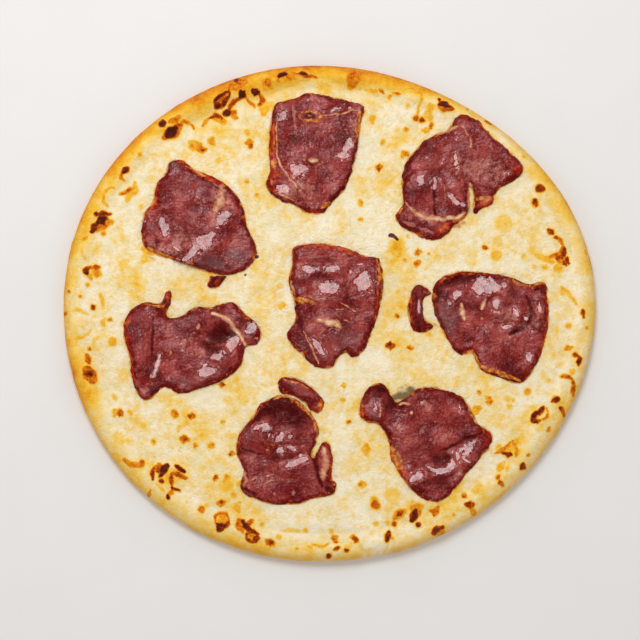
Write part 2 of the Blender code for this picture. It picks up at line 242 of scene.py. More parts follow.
def in_oval(x, y, degrees, place, length, width):
    """0 at the middle of an oval that lies along the rim, 1 on its line, more outside."""
    turn = (np.arctan2(y, x) - math.radians(degrees) + np.pi) % (2 * np.pi) - np.pi
    along = turn * place / (length / 2)
    across = (np.hypot(x, y) - place) / (width / 2)
    return np.hypot(along, across)


def blister_height(x, y):
    """Height that the blisters add at each point."""
    total = np.zeros(np.shape(x))
    for *oval, rise in BLISTERS:
        total = np.maximum(total, rise * np.maximum(0, 1 - in_oval(x, y, *oval) ** 2) ** 1.5)
    return total


def dough_top(x, y):
    """Top of the dough, with its unevenness; blisters show where no cheese covers it."""
    angle, way_in = polar(x, y)
    bare = smooth((cheese_stop(angle) - way_in) / 3.0)
    return (rim_section(angle, way_in) + bare * blister_height(x, y)
            + rough(x, y, *DOUGH_UNEVEN) * smooth(way_in / 2))


print("blisters:", len(BLISTERS))

# %% [markdown]
# ## The cheese's surface
# Melted cheese is a few millimetres thick, thins out over the rim and is never flat: it
# has slow waves, and lumps where the curds have not run together. At its edge it takes on
# the dough's own height, so that it seems to melt into it.

# %% Heights of the cheese
CHEESE_EDGE, CHEESE_THICKNESS, CHEESE_SWELL, GAP = 0.7, 2.7, 12.0, 0.35
CHEESE_WAVES = ((61, 25, 0.30, 0.4), (43, 100, 0.22, 2.0), (33, 155, 0.16, 4.1))
CHEESE_LUMPS = ((0.34, 7.1, 11), (0.22, 3.3, 12), (0.12, 1.8, 13))
LUMPS_GROW, MELT_START, MELT_WIDTH, MELT_LIFT = 5, 0.5, 4, 0.06


def waves(x, y, wave_list):
    """Height of a few crossing waves: length, direction in degrees, height, phase."""
    total = 0.0
    for length, degrees, height, phase in wave_list:
        way = x * math.cos(math.radians(degrees)) + y * math.sin(math.radians(degrees))
        total = total + height * np.sin(2 * np.pi * way / length + phase)
    return total


def plain_cheese(x, y):
    """Top of the cheese before its lumps: what the slices rest on."""
    angle, way_in = polar(x, y)
    swell = smooth((way_in - cheese_stop(angle)) / CHEESE_SWELL)
    thickness = CHEESE_EDGE + (CHEESE_THICKNESS - CHEESE_EDGE) * swell
    thickness = thickness + swell * waves(x, y, CHEESE_WAVES)
    thickness = thickness + np.minimum(1, 4 * swell) * blister_height(x, y)
    return rim_section(angle, way_in) + GAP + thickness


def cheese_top(x, y):
    """Top of the cheese with its lumps; its edge melts into the dough."""
    angle, way_in = polar(x, y)
    from_edge = way_in - cheese_stop(angle)
    full = plain_cheese(x, y) + rough(x, y, *CHEESE_LUMPS) * smooth(from_edge / LUMPS_GROW)
    melted = smooth((from_edge + MELT_START) / MELT_WIDTH)
    return dough_top(x, y) * (1 - melted) + full * melted + MELT_LIFT


print("cheese in the middle stands at", plain_cheese(0.0, 0.0).round(2), "mm")

# %% [markdown]
# ## From an outline to a filled loop
# `closed_curve` runs a smooth curve through a few points, and `filled_loop` fills a loop
# with even triangles, so that relief and colour have points to hold on to everywhere. A
# grid of squares would be simpler, but its edge would be cut in steps.

# %% Curves
def closed_curve(points, spacing):
    """Points about `spacing` apart on a smooth closed curve through the given ones."""
    knots = [Vector((x, y, 0)) for x, y in points]
    count = len(knots)
    heads = [(knots[(k + 1) % count] - knots[k - 1]).normalized() for k in range(count)]
    curve = []
    for k in range(count):
        start, end = knots[k], knots[(k + 1) % count]
        reach = (end - start).length / 3
        steps = max(1, round(3 * reach / spacing))
        bend = geometry.interpolate_bezier(
            start, start + heads[k] * reach, end - heads[(k + 1) % count] * reach, end, steps + 1)
        curve += [(point.x, point.y) for point in bend[:-1]]
    return np.array(curve)


def edge_distance(points, loop):
    """Distance of each point to the loop, positive inside it."""
    result = []
    start, end = loop, np.roll(loop, -1, axis=0)
    run = end - start
    rise = np.where(run[:, 1] == 0, 1.0, run[:, 1])
    for part in np.array_split(points, max(1, len(points) // 2000)):
        offset = part[:, None, :] - start[None]
        share = np.clip((offset * run).sum(2) / (run ** 2).sum(1), 0, 1)
        away = np.linalg.norm(offset - share[..., None] * run, axis=2).min(1)
        above = (start[:, 1] > part[:, 1, None]) != (end[:, 1] > part[:, 1, None])
        crossing = start[:, 0] + offset[..., 1] * run[:, 0] / rise
        inside = (above & (part[:, 0, None] < crossing)).sum(1) % 2 == 1
        result.append(np.where(inside, away, -away))
    return np.concatenate(result)


square = closed_curve(((0, 0), (9, 0), (9, 9), (0, 9)), 1.0)
print("points round a square:", len(square))

# %% Filled loops
ROW_SHARE = 0.866          # height of a triangle with sides of 1


def lattice(low, high, grid):
    """Points of an even triangular lattice, and which of them a coarser one keeps."""
    columns, rows = np.ceil((high - low) / (grid, grid * ROW_SHARE)).astype(int) + 1
    row, column = np.mgrid[0:rows, 0:columns]
    x = low[0] + grid * (column + 0.5 * (row % 2))
    y = low[1] + grid * ROW_SHARE * row
    coarse = (row % 3 == 0) & (column % 3 == 0)
    return np.stack([x.ravel(), y.ravel()], 1), coarse.ravel()


def filled_loop(loop, inner):
    """Triangles that fill a loop, using inner points; the loop's points come first."""
    flat = np.concatenate([loop, inner])
    ring = list(range(len(loop)))
    found = geometry.delaunay_2d_cdt([Vector(point) for point in flat], [], [ring], 1, 1e-6)
    origin = [sources[0] for sources in found[3]]
    return flat, [[origin[corner] for corner in face] for face in found[2]]


print("filled square:", len(filled_loop(square, np.array([(4.0, 4.0)]))[1]), "triangles")

# %% [markdown]
# ## A mesh that carries its looks
# Browning, fat and oil are kept on the mesh itself, as one value for each point, and the
# material reads them by name. A painted picture would do the same, but the mesh would have
# to be unwrapped for it.

# %% Pieces and rings
def make_piece(name, points, faces, looks):
    """A smooth mesh with one value of each look at every point."""
    mesh = bpy.data.meshes.new(name)
    shift = np.array([*MIDDLE, 0])
    mesh.from_pydata((points - shift) * MM, [], faces)
    mesh.shade_smooth()
    for look, values in looks.items():
        mesh.attributes.new(look, "FLOAT", "POINT").data.foreach_set("value", values)
    piece = bpy.data.objects.new(name, mesh)
    bpy.context.collection.objects.link(piece)
    return piece


def ring_faces(first, second, count):
    """Squares between two rings, given by the number of their first point."""
    k = np.arange(count)
    after = (k + 1) % count
    return np.stack([first + k, first + after, second + after, second + k], 1).tolist()


print("squares between rings of four:", len(ring_faces(0, 4, 4)))

# %% [markdown]
# ## Strokes
# Whatever colours the pizza only in places is painted as strokes: browned arcs, fat, oil,
# wet patches. A stroke is a line through a few points, or one point for a dab. The mesh's
# points are pushed about a little before the distance to it is measured, so that no painted
# line is straight and no dab is round.

# %% Strokes
def stroke_distance(points, line):
    """Distance of each point to a line through some places, and how far along it lies."""
    line = np.array(line, float)
    if len(line) == 1:
        return np.linalg.norm(points - line[0], axis=1), np.full(len(points), 0.5)
    lengths = np.linalg.norm(np.diff(line, axis=0), axis=1)
    passed = np.concatenate([[0], np.cumsum(lengths)])
    away, along = np.full(len(points), np.inf), np.zeros(len(points))
    for number, (start, end) in enumerate(zip(line, line[1:])):
        run = end - start
        share = np.clip(((points - start) @ run) / (run @ run), 0, 1)
        here = np.linalg.norm(points - start - share[:, None] * run, axis=1)
        nearer = here < away
        away[nearer] = here[nearer]
        along[nearer] = ((passed[number] + share * lengths[number]) / passed[-1])[nearer]
    return away, along


def stroke_share(points, line, half_width):
    """Distance to a stroke in half widths; the stroke narrows to its ends."""
    away, along = stroke_distance(points, line)
    narrowing = 1.0 if len(line) == 1 else 0.6 + 0.4 * np.sin(np.pi * along)
    return away / (half_width * narrowing)


def pairs(numbers):
    """Numbers two by two, such as x and y or an angle and a radius."""
    return tuple(zip(numbers[::2], numbers[1::2]))


def near_stroke(points, line, reach):
    """Which points lie near enough to matter."""
    line = np.array(line, float)
    return ((points > line.min(0) - reach) & (points < line.max(0) + reach)).all(1)


def pushed(points, seed):
    """The points moved about by up to a millimetre."""
    x, y = points.T
    return points + np.stack([
        rough(x, y, (0.6, 4.3, seed + axis), (0.3, 1.8, seed + 2 + axis)) for axis in (0, 1)], 1)


print("half widths away:", stroke_share(np.array([[2.0, 1.0]]), ((0, 0), (4, 0)), 1.0).round(2))

# %% [markdown]
# ## Where the oven browned it
# Browning is one value, `toast`, from 0 to 1: cheese turns yellow, golden, orange, brown and
# at last nearly black. The darkest parts are the crests of blisters. Each stroke is a row:
# value, half width, then the angle,radius of its places. Noise would brown the rim too, but
# evenly; here each scorched crest is where the real one is. The first strokes are at the
# far left, where the oven was hottest.

# %% Browned strokes, far left
FAR_LEFT = (
    (0.98, 2, 131.5,152.4), (0.55, 1.5, 130,150, 127.5,149.6),
    (0.62, 3, 133,145.8, 130.5,144.5, 128.8,145.4), (0.98, 2.2, 132.4,145.2, 130,145.6),
    (0.56, 0.7, 129,146.4, 127.5,146.3, 126.5,144, 126,141, 126.3,138.5),
    (0.44, 1.8, 129.5,133, 128.6,130, 127.8,127.5), (0.58, 1.4, 128,127.2), (0.5, 1.9, 124.3,126),
    (0.42, 1.6, 114.6,120), (0.58, 1.9, 115.8,114.2, 114.4,113.4), (0.32, 1.9, 125.8,113.5),
    (0.62, 1.9, 118.4,143, 116.6,145, 115,146.4),
    (0.85, 0.7, 119.2,143, 118.4,145.6, 116.8,147.3, 115,147.9, 114.2,147),
    (0.8, 0.6, 119.2,142.4, 117.4,142.2, 115.6,143.9, 114.3,146), (0.9, 1.2, 118.8,142.6, 118,143.4),
    (0.56, 3.6, 113.6,150, 110.2,149.6), (0.98, 0.9, 111.6,152.3), (1, 2, 111.9,144.2, 111.6,142.8),
    (0.7, 0.9, 112.2,141.8, 114,141.4, 115.4,139.4, 116.2,137.2), (0.95, 1.9, 117,136.7),
    (0.62, 1.6, 116,136.4, 115.2,133), (0.6, 0.8, 111.2,142.4, 110.8,139, 110.3,135.6, 109.8,132.4),
    (0.52, 0.8, 124,136.4, 122.8,139, 121.4,140.2), (0.78, 1.2, 121.4,139.6, 119.8,138.4, 118.8,135.6),
    (0.56, 1.9, 120.8,137.8, 119.5,135.4, 118.7,131.8), (0.56, 1, 116.5,133, 115.4,130.4),
    (0.9, 1.5, 109,143, 107.8,140.6), (0.68, 1.5, 107.4,139, 107.1,135.8, 108.6,133.6),
    (0.42, 2.6, 107.2,133, 107.8,127), (0.36, 2.4, 106.5,133, 105,130), (0.58, 2.2, 104.8,145.4),
    (0.44, 4, 105,145), (0.88, 1.2, 101.9,147, 101,147.9, 100.2,147.4),
    (0.62, 1.1, 99.9,146.4, 99.4,143.4), (0.5, 0.8, 102.2,145.6, 102.3,143.6), (0.4, 1.6, 103.4,143),
    (0.88, 1, 96.7,146.6, 95.4,146), (0.6, 0.6, 98.3,147, 96.2,145.2, 94.4,144.6, 92.8,143.5),
    (0.45, 1.2, 98.6,144), (0.36, 0.5, 143.5,152, 142,153, 140.5,152), (0.45, 1.1, 140.5,148.6))
print("browned strokes, far left:", len(FAR_LEFT))

# %% [markdown]
# ### Left
# On the left side the blisters are broad and low, with thin dark lines on their crests.

# %% Browned strokes, left
LEFT = (
    (0.9, 1.3, 146,150, 144.6,149.6), (0.55, 0.9, 146,151, 147.3,149.4, 147.5,147), (0.44, 0.7,
    154.8,148.5, 154.3,151.6, 153,153.2, 151.5,153, 150.5,151, 150.3,149),
    (0.6, 1.2, 150.8,144.6, 150,142.6, 149,141.2, 148,139.8), (0.72, 0.9, 149.4,141.8, 148.5,140.8),
    (0.4, 1.4, 151.5,139.5, 148.4,138.3, 146.5,141), (0.58, 2.8, 160.6,148, 158.6,145, 157.4,147),
    (0.95, 2.6, 159,148.2, 158,146.6), (0.86, 1.5, 161.8,150.8, 159.8,149.6),
    (0.86, 0.8, 157.4,150.4, 156.8,148.4, 156.3,144.5), (0.9, 0.8, 157.5,152), (0.52, 1, 161,143.6),
    (0.5, 1, 157.8,141.4), (0.5, 1, 164.2,154, 163.3,152.2),
    (0.34, 0.6, 168.5,150, 167.5,152.6, 166,154, 164.6,153.8),
    (0.88, 1, 171.6,146.8, 170.9,148.2, 170.3,147.4), (0.7, 1, 170.2,146.6, 169.9,144, 169.7,141),
    (0.5, 1, 172.7,144.4, 171.8,145.4), (0.44, 1.8, 171.2,143.6, 171.4,140),
    (0.7, 0.9, 180.1,140.4, 179,142.3), (0.38, 1, 180,135.4, 178,136.2, 176,137.5),
    (0.42, 0.8, 184.6,135, 183.4,136, 182.6,134.4), (0.52, 0.9, 183.3,131.8, 182.4,131),
    (0.46, 2.1, 188.8,131.2), (0.36, 0.8, 189.5,143, 187.6,142, 187,138.6),
    (0.38, 0.6, 186.7,158, 187,150, 186,145, 185,143), (0.36, 0.6, 180.6,157, 180.5,150, 181.4,144.4),
    (0.62, 0.9, 181,158.4), (0.38, 2, 165.5,116, 164,115), (0.3, 2.2, 169,127, 166.6,125.6),
    (0.3, 1.6, 161,131.5), (0.45, 2, 162,118, 162.4,112), (0.34, 1.3, 151,130),
    (0.62, 4.2, 197,147.8, 194.4,148.8), (0.78, 1.9, 195.6,148.6), (0.95, 0.7, 195.6,148.4),
    (0.62, 1.7, 192.6,147.4, 191,147.6), (0.64, 1.1, 207.8,139, 206.5,138.8),
    (0.45, 0.7, 206,139.6, 206,142, 207,143), (0.45, 1, 208.6,133.6, 207.4,134),
    (0.34, 1, 203.6,138.4, 202,138.5), (0.6, 0.5, 177.3,149), (0.6, 0.5, 176.2,156.5),
    (0.55, 0.5, 174.3,145.5), (0.55, 0.5, 189.6,145.5))
print("browned strokes, left:", len(LEFT))

# %% [markdown]
# ### Near left
# Here sits the largest blister of all, thinly covered and browned only on its left flank.
# Beside it lie small, tightly curled scorch marks.

# %% Browned strokes, near left
NEAR_LEFT = (
    (0.54, 1.5, 220.6,144.8, 219.6,148, 218.7,151, 216.8,151.6), (0.66, 1.3, 220.1,144.4),
    (0.42, 1.2, 217.7,131.7), (0.6, 1.6, 223.4,115.2, 221.8,117.4), (0.72, 0.9, 222.8,115.8),
    (0.42, 1.3, 226.6,114, 225.4,114.4), (0.46, 1.6, 229.8,108.3), (0.53, 2, 214.7,112),
    (0.36, 1.2, 219.6,116, 218.8,114), (0.68, 0.9, 237,121.3, 236.2,121.4), (0.4, 1.6, 239,118, 240,122),
    (0.6, 1.9, 238,142.4), (0.36, 1.2, 238.6,139), (0.38, 4.5, 226,142, 228.5,134.5),
    (0.68, 2.2, 224,141, 223.2,138.4), (0.97, 1.5, 225.2,142, 224.8,139, 224.6,134.4),
    (0.8, 0.6, 224.9,146.6, 223.6,144.8, 222.8,141.6), (0.87, 0.7, 231.2,140.8, 230.2,142, 229.2,142.2),
    (0.77, 0.7, 229.2,142, 228,140, 226.9,137.2), (0.7, 1, 226.9,136.6, 228.4,134.2, 230.5,132.2),
    (0.92, 1.1, 228.7,130.4, 227.4,131.4, 226.3,131.6), (0.87, 0.9, 226.5,143.7),
    (0.92, 0.9, 230.4,149, 229.8,147.6), (0.55, 0.9, 230,147, 229.8,144),
    (0.56, 0.9, 226.5,156, 226,152.4), (0.38, 0.5, 229.8,156, 229.6,150.4),
    (0.42, 0.5, 228.6,147.2, 226,147.4), (0.5, 2.8, 244.2,144.6, 243.4,140.4),
    (0.84, 1.2, 245,143.4, 244.4,145.4, 243.7,147.4, 243.2,146), (0.75, 0.7, 245.3,144, 245,141),
    (0.62, 0.6, 244.8,139.6, 243.5,137.8, 242.3,139, 241.8,142, 242.5,145.6),
    (0.95, 1.4, 250.6,140.4, 249.8,140, 248.9,139, 248.2,138), (0.7, 1.2, 250.2,137.6, 250,135.4),
    (0.6, 1.4, 249.3,143.4, 248,142.4, 247.3,140, 247.4,138, 248.3,136.6),
    (0.56, 1, 250.2,136, 250.6,134.4), (0.5, 2.6, 251.6,144), (0.86, 1.6, 253.2,143.8, 252.4,144.4),
    (0.74, 0.6, 253,146, 251.8,147, 250.6,146.2, 250.3,144.4),
    (0.76, 0.7, 252.8,141.8, 251.5,140.8, 250.8,141.8, 250.3,143.8), (0.76, 1.2, 256.4,144.4),
    (0.64, 0.8, 256.2,146.8, 255.6,145.8, 255.5,144, 256,142.4), (0.46, 2, 256.5,145),
    (0.43, 1.5, 257.6,140.6, 258,139.6), (0.43, 1, 253.3,135, 252.5,135.4),
    (0.43, 1.7, 246.5,133, 245.4,131, 245.8,128.4), (0.58, 1.2, 242.2,131, 240.8,133),
    (0.43, 1.6, 243.8,126, 242.8,125), (0.43, 1.4, 242.8,119, 243,117.4), (0.38, 3, 240.5,122),
    (0.6, 0.5, 248.7,154))
print("browned strokes, near left:", len(NEAR_LEFT))

# %% [markdown]
# ### Near side
# At the near side a tongue of cheese runs over the rim. Two faint lines are its borders,
# and the darker spots stand to its left and right.

# %% Browned strokes, near side
NEAR_SIDE = (
    (0.38, 1, 264,133.6), (0.3, 0.8, 263,134.6, 260,134.8, 258,135.6),
    (0.46, 0.6, 270,140.6, 269,142.3, 267.5,142.5, 266,141.6), (0.38, 0.8, 266,143.6, 264.8,142.8),
    (0.53, 1.5, 272,136.6, 271,138), (0.42, 1, 270.7,133.6),
    (0.32, 0.6, 275.5,141, 274.5,143, 273.5,142.5), (0.78, 0.9, 272.2,143.8, 271.4,144.5),
    (0.76, 0.8, 274,145.5), (0.86, 1, 270,148.2),
    (0.27, 0.25, 276.6,138, 277.6,143, 278.4,148, 279.4,151.5),
    (0.27, 0.25, 285,138, 284,143, 283.2,148, 282.2,151.5), (0.7, 1.2, 276.8,140, 276,139),
    (0.5, 1, 275.8,137.4), (0.86, 1.5, 284.8,138.8, 284.2,141, 283.6,143), (0.72, 1.1, 286.7,135.2),
    (0.45, 0.8, 285.3,142.5), (0.52, 2.6, 290,130, 288.4,130.4, 287.2,131.8),
    (0.76, 1.3, 289.6,130, 288.2,130.6), (0.62, 2.3, 283.2,121.4), (0.42, 2.2, 283.2,119),
    (0.4, 1, 282.5,132.6, 281.8,131.6), (0.38, 1, 285.2,133), (0.46, 1.4, 281.5,107, 279.8,107),
    (0.3, 4, 288.5,118), (0.98, 0.9, 299,153.2, 297.2,153.2), (0.6, 0.8, 296.6,153.5, 295,153),
    (0.46, 2.5, 296,149.4), (0.84, 1.3, 297,147.2, 296,146.6, 295.2,147.4, 294.5,149),
    (0.5, 0.6, 297,151, 295.8,152.8, 294.8,151.4), (0.62, 1.5, 298.4,135.8, 297.3,137.2, 296.4,138.4),
    (0.56, 1, 296.5,135.6), (0.87, 1.2, 292.2,139.6), (0.56, 2.3, 293.2,134, 293.8,131, 292.4,129.8),
    (0.94, 1.5, 291.2,136, 292.2,133.8, 293,131.6), (0.42, 1.6, 294.6,131.4), (0.45, 0.6, 262.5,145.5))
print("browned strokes, near side:", len(NEAR_SIDE))

# %% [markdown]
# ### Right
# The right side stayed palest. Its marks are small dark commas on single blisters.

# %% Browned strokes, right
RIGHT = (
    (0.5, 1.6, 305,149), (0.66, 2, 305.8,145.4, 304.6,144), (0.85, 1.1, 305,144.8, 304.4,142.8),
    (0.66, 1.3, 305.4,138.2), (0.62, 1.4, 313.8,148, 314.2,145.4), (0.7, 0.9, 314.7,142.8),
    (0.88, 1.6, 320.8,149, 319.8,149.5), (0.6, 0.5, 323.2,147.5), (0.42, 2.2, 322,137.4),
    (0.54, 0.7, 323.5,137, 322.3,140.4, 321,142.4), (0.4, 0.6, 322.9,141.4, 321.4,143.2),
    (0.58, 0.8, 324,135.6, 322.5,135, 321,134, 319.5,132.6, 318.8,131.6),
    (0.8, 0.7, 320.8,139.6, 320,138.5, 320.3,136.4, 319.8,134), (0.88, 0.9, 320.6,138.4),
    (0.38, 1.5, 320.5,131), (0.42, 1.8, 316,140, 318,139), (0.36, 0.7, 317,144, 318.5,142),
    (0.36, 1.8, 308,139, 310,140), (0.58, 1.1, 331.2,150.3, 330.3,149.5),
    (0.5, 2.4, 333,138.4, 331.4,140), (0.56, 0.6, 335,142.5, 334,145, 332.8,145.3, 331.8,144),
    (0.88, 1, 334.8,140.5, 333.6,140.3, 332.7,141), (0.92, 1.2, 333,139, 332,138.3, 331,139.4, 331,142),
    (0.82, 0.8, 331,141.6, 331.5,143), (0.5, 1.6, 337.8,146),
    (0.84, 0.9, 338.3,146.8, 337.4,146, 337,144.6), (0.68, 1, 335.3,154.4, 336.3,152, 336.7,150),
    (0.86, 0.8, 336.6,150.6), (0.46, 1.6, 337,128.5), (0.48, 1.4, 329.5,111, 330.2,108.5),
    (0.35, 1.5, 333,119.5), (0.35, 1.4, 331.3,122.5), (0.45, 2.4, 326,108, 324,106),
    (0.66, 1, 343.2,152, 342.2,153, 341,153.5, 340.3,154.5),
    (0.58, 1.2, 343.7,150.6, 343.9,148, 343.4,145.6), (0.76, 0.8, 343.9,148.8), (0.38, 1, 341.8,138.7),
    (0.8, 1.1, 348.7,152.3, 347.3,153.4), (0.8, 1.3, 349.1,149.8), (0.52, 1.3, 350.8,146.6, 350.3,144.4),
    (0.38, 1.5, 345,150, 345.8,151), (0.46, 1.4, 355.8,144.2), (0.8, 1.1, 359.4,152, 358,152.5),
    (0.42, 0.7, 5.5,140.6, 4,144, 2.5,146.4, 1,148.4), (0.35, 1.5, 4,141),
    (0.56, 3.8, 13.4,143.4, 12,142.4), (0.66, 1.1, 15,147, 13.8,143.6, 13.2,138),
    (0.86, 0.8, 14.5,147, 13.4,145.4, 12.7,143.4), (0.86, 0.8, 12.4,147, 11.6,146, 10.8,147.2),
    (0.84, 0.9, 11.6,144, 10.6,145.4), (0.76, 0.7, 13,143, 12.6,140),
    (0.42, 1.7, 12,137.6, 14.3,131, 15,129), (0.4, 1.2, 11,132.6), (0.42, 2.2, 10,140),
    (0.34, 1, 11.6,127), (0.35, 1.3, 15.3,122), (0.78, 1.3, 20.2,141.8, 19,143.2),
    (0.58, 1, 17.6,144, 16.8,146, 15.6,147), (0.68, 0.8, 17.7,144), (0.52, 2.3, 27.4,141),
    (0.8, 1.4, 28,141.5, 26.8,140.9), (0.84, 2.1, 29.8,147.6), (0.4, 2.6, 18,106), (0.3, 3, 22,110),
    (0.3, 5, 26.5,118), (0.45, 0.6, 13,158.6, 12,158.4), (0.6, 0.5, 355.7,154.8), (0.5, 0.6, 300.7,144))
print("browned strokes, right:", len(RIGHT))

# %% [markdown]
# ### Far right
# The far right has one long thin arc, the border of a wide blister, and pale dots inside it.

# %% Browned strokes, far right
FAR_RIGHT = (
    (0.52, 3.6, 84.4,147.6, 83.8,143, 84.6,138.6), (0.6, 1.8, 84,145),
    (0.44, 0.6, 71,144.4, 69,145.8, 67.3,144.8, 66.4,141, 66.1,136, 65.7,131.6), (0.72, 1.4, 65.7,129.6),
    (0.64, 0.8, 76.9,139.4, 76,138.2), (0.42, 1.2, 80.5,138, 77.6,138.3),
    (0.58, 0.9, 72.9,139.4, 71.8,139.8), (0.48, 0.9, 74,135.5, 74.4,137), (0.42, 1, 73.6,139),
    (0.36, 1, 69.2,135), (0.76, 1, 64,130.2), (0.62, 1.2, 61.4,129, 60.8,128), (0.5, 1, 61.8,131, 61,130),
    (0.46, 1.6, 62.6,124.6, 61.4,126), (0.42, 2.5, 63,134), (0.4, 2.2, 63.5,139),
    (0.48, 1.5, 67.4,120, 66.8,120.6), (0.42, 1.6, 77.3,121.5), (0.42, 1.2, 72,108.5),
    (0.55, 1.2, 65,106.5, 63,106), (0.62, 2.2, 61.4,142, 59.2,143.4),
    (0.96, 1.5, 61.8,143.4, 60.8,145, 59.8,144.9), (0.74, 0.6, 59.6,146, 58.6,144.4, 59.4,142.8),
    (0.92, 0.8, 62.4,146.2), (0.62, 0.7, 50.4,151.2, 49,151.6), (0.5, 0.7, 55.6,150),
    (0.42, 0.7, 38.7,152, 38.2,151))
BROWNED = FAR_LEFT + LEFT + NEAR_LEFT + NEAR_SIDE + RIGHT + FAR_RIGHT
print("browned strokes, far right:", len(FAR_RIGHT), "of", len(BROWNED))

# %% [markdown]
# ## Spots on the cheese
# Between the slices the cheese has small round browned spots, where a curd stood out. They
# are given by x,y, length, width and value.

# %% Browned spots
CHEESE_SPOTS = (
    (-77,98.5, 7, 4, 0.6), (-82,100, 7, 4, 0.45), (-70,102, 4.5, 4, 0.48), (-47.5,100.5, 5, 5, 0.66),
    (-49,108, 4, 4, 0.4), (-49.7,78.5, 4, 4, 0.46), (-43.7,70, 4, 3.5, 0.4), (30.7,87, 6.5, 5.5, 0.6),
    (19.3,65, 3, 5.5, 0.42), (19.3,55.3, 3.5, 3.5, 0.5), (26.5,116, 4, 4, 0.4), (33,101.5, 4, 3, 0.42),
    (45,94.5, 5, 4, 0.44), (94.5,37.5, 5.2, 5, 0.6), (54,34.6, 5.6, 4.6, 0.58), (53.5,28, 5.4, 4.4, 0.56),
    (60,33.5, 3, 2.5, 0.45), (48,44, 3, 3, 0.3), (46,30, 4, 3, 0.42), (37.3,-22.7, 8, 6, 0.7),
    (48.7,-23.3, 5, 3.5, 0.52), (41,-4.4, 4.5, 4.5, 0.56), (42,10, 4, 5, 0.3), (-125,-63.5, 5.5, 5, 0.6),
    (-91.7,-64, 6, 5, 0.56), (-81.5,-65, 6.5, 5, 0.62), (-86.3,-79, 6, 4.5, 0.66),
    (-104.3,-80.6, 4, 3.5, 0.46), (-79.7,-82.5, 4, 4, 0.5), (-70,-82.5, 4, 3.5, 0.5),
    (-63,-68.5, 4, 4, 0.46), (-67.7,-102.5, 4, 3.5, 0.56), (-63.5,-116.5, 6.5, 4, 0.58),
    (-58,-87.3, 4, 5, 0.6), (-64,-46, 4.4, 5, 0.76), (-60,-102, 5, 5, 0.42), (4,-139, 5, 5, 0.6),
    (22,-85, 5, 9, 0.44), (20,-106, 6.5, 3.5, 0.48), (95.5,-56, 5, 6.5, 0.54),
    (89.5,-51.5, 4.4, 4.4, 0.52), (110,-55, 4, 4, 0.4), (12,-68.5, 4.4, 4.4, 0.54),
    (8.5,-55.6, 4, 3.5, 0.46), (9,-47, 4, 3, 0.42), (60,-16, 5, 3, 0.32), (-30,14, 5, 4, 0.28),
    (-28,2, 5, 6, 0.4), (-42,8, 4, 5, 0.3), (-140,22, 7, 6, 0.48))
print("spots on the cheese:", len(CHEESE_SPOTS))

# %% [markdown]
# ## From strokes to browning
# A browned spot is even in its middle, fades over about a millimetre and has a pale halo. A
# spot on the cheese gets a darker core too, each off its middle to another side, so that
# they don't look stamped. Where strokes meet, the browner one counts.

# %% How far each point is browned
SPOT_FULL, SPOT_FADE = 0.68, 0.48
HALO_REACH, HALO_WIDER, HALO_SHARE, HALO_MOST = 1.9, 2.8, 0.52, 0.8
STROKE_WIDER, STROKE_ADDED = 1.2, 0.2
OVAL_HALF, CORE_OFF, CORE_TURN, CORE_WIDTH, CORE_BROWNER = 0.6, 0.35, 2.4, 0.5, 1.2


def brown(total, points, value, half_width, line):
    """Browns the points near a line, with a halo round it."""
    reach = HALO_REACH + HALO_WIDER / half_width
    near = near_stroke(points, line, reach * half_width)
    share = stroke_share(points[near], line, half_width)
    spot = value * (1 - smooth((share - SPOT_FULL) / (SPOT_FADE + 1.0 / half_width)))
    halo = HALO_SHARE * min(value, HALO_MOST) * (1 - smooth(share / reach))
    total[near] = np.maximum(total[near], np.maximum(spot, halo))


def brown_oval(total, points, number, middle, size, value):
    """Browns an oval spot and its core."""
    half_width = OVAL_HALF * size.min()
    stretch = OVAL_HALF * size - half_width
    brown(total, points, value, half_width, (middle - stretch, middle + stretch + 0.01))
    core = middle + CORE_OFF * half_width * on_circle(CORE_TURN * number, 1.0)
    brown(total, points, CORE_BROWNER * value, CORE_WIDTH * half_width,
          (core - stretch / 2, core + stretch / 2 + 0.01))


def toast_value(x, y):
    """How far each point is browned, from 0 to about 1."""
    points = pushed(np.stack([x, y], 1), 21)
    total = np.zeros(len(points))
    for value, half_width, *line in BROWNED:
        places = [on_circle(math.radians(turn), radius) for turn, radius in pairs(line)]
        brown(total, points, value, STROKE_WIDER * half_width + STROKE_ADDED, places)
    for number, (*middle, length, width, value) in enumerate(CHEESE_SPOTS):
        brown_oval(total, points, number, np.array(middle), np.array([length, width]), value)
    return np.clip(total, 0, 1.1)


print("toast on a browned spot:", toast_value(np.array([-77.0]), np.array([98.5])).round(2))

# %% [markdown]
# ## Golden dough
# `gold` says how golden the dough has baked: deepest at the far left, where the oven was
# hottest, and pale at the near right. It is the same on the dough and on the cheese's thin
# edge, so the seam between the two pieces does not show.

# %% Golden parts
GOLD_ROUND = (
    (0,0.29), (15,0.48), (30,0.6), (45,0.45), (60,0.66), (75,0.88), (90,0.88), (105,0.9), (120,0.88),
    (135,0.85), (150,0.7), (165,0.68), (180,0.5), (195,0.68), (210,0.45), (225,0.46), (240,0.42),
    (255,0.46), (270,0.47), (276.6,0.45), (278.8,0.06), (282.8,0.06), (285,0.42), (300,0.38), (315,0.31),
    (330,0.28), (345,0.36), (360,0.29))
GOLD_RAGGED = (1.6, 7, 31)
GOLD_UNEVEN = ((0.16, 13, 32), (0.1, 5, 33))
GOLD_FULL, GOLD_FADE = 2, 10
EDGE_GOLD_AND_SHADE, EDGE_GOLD_AND_SHADE_WIDTH = 0.12, 3.0


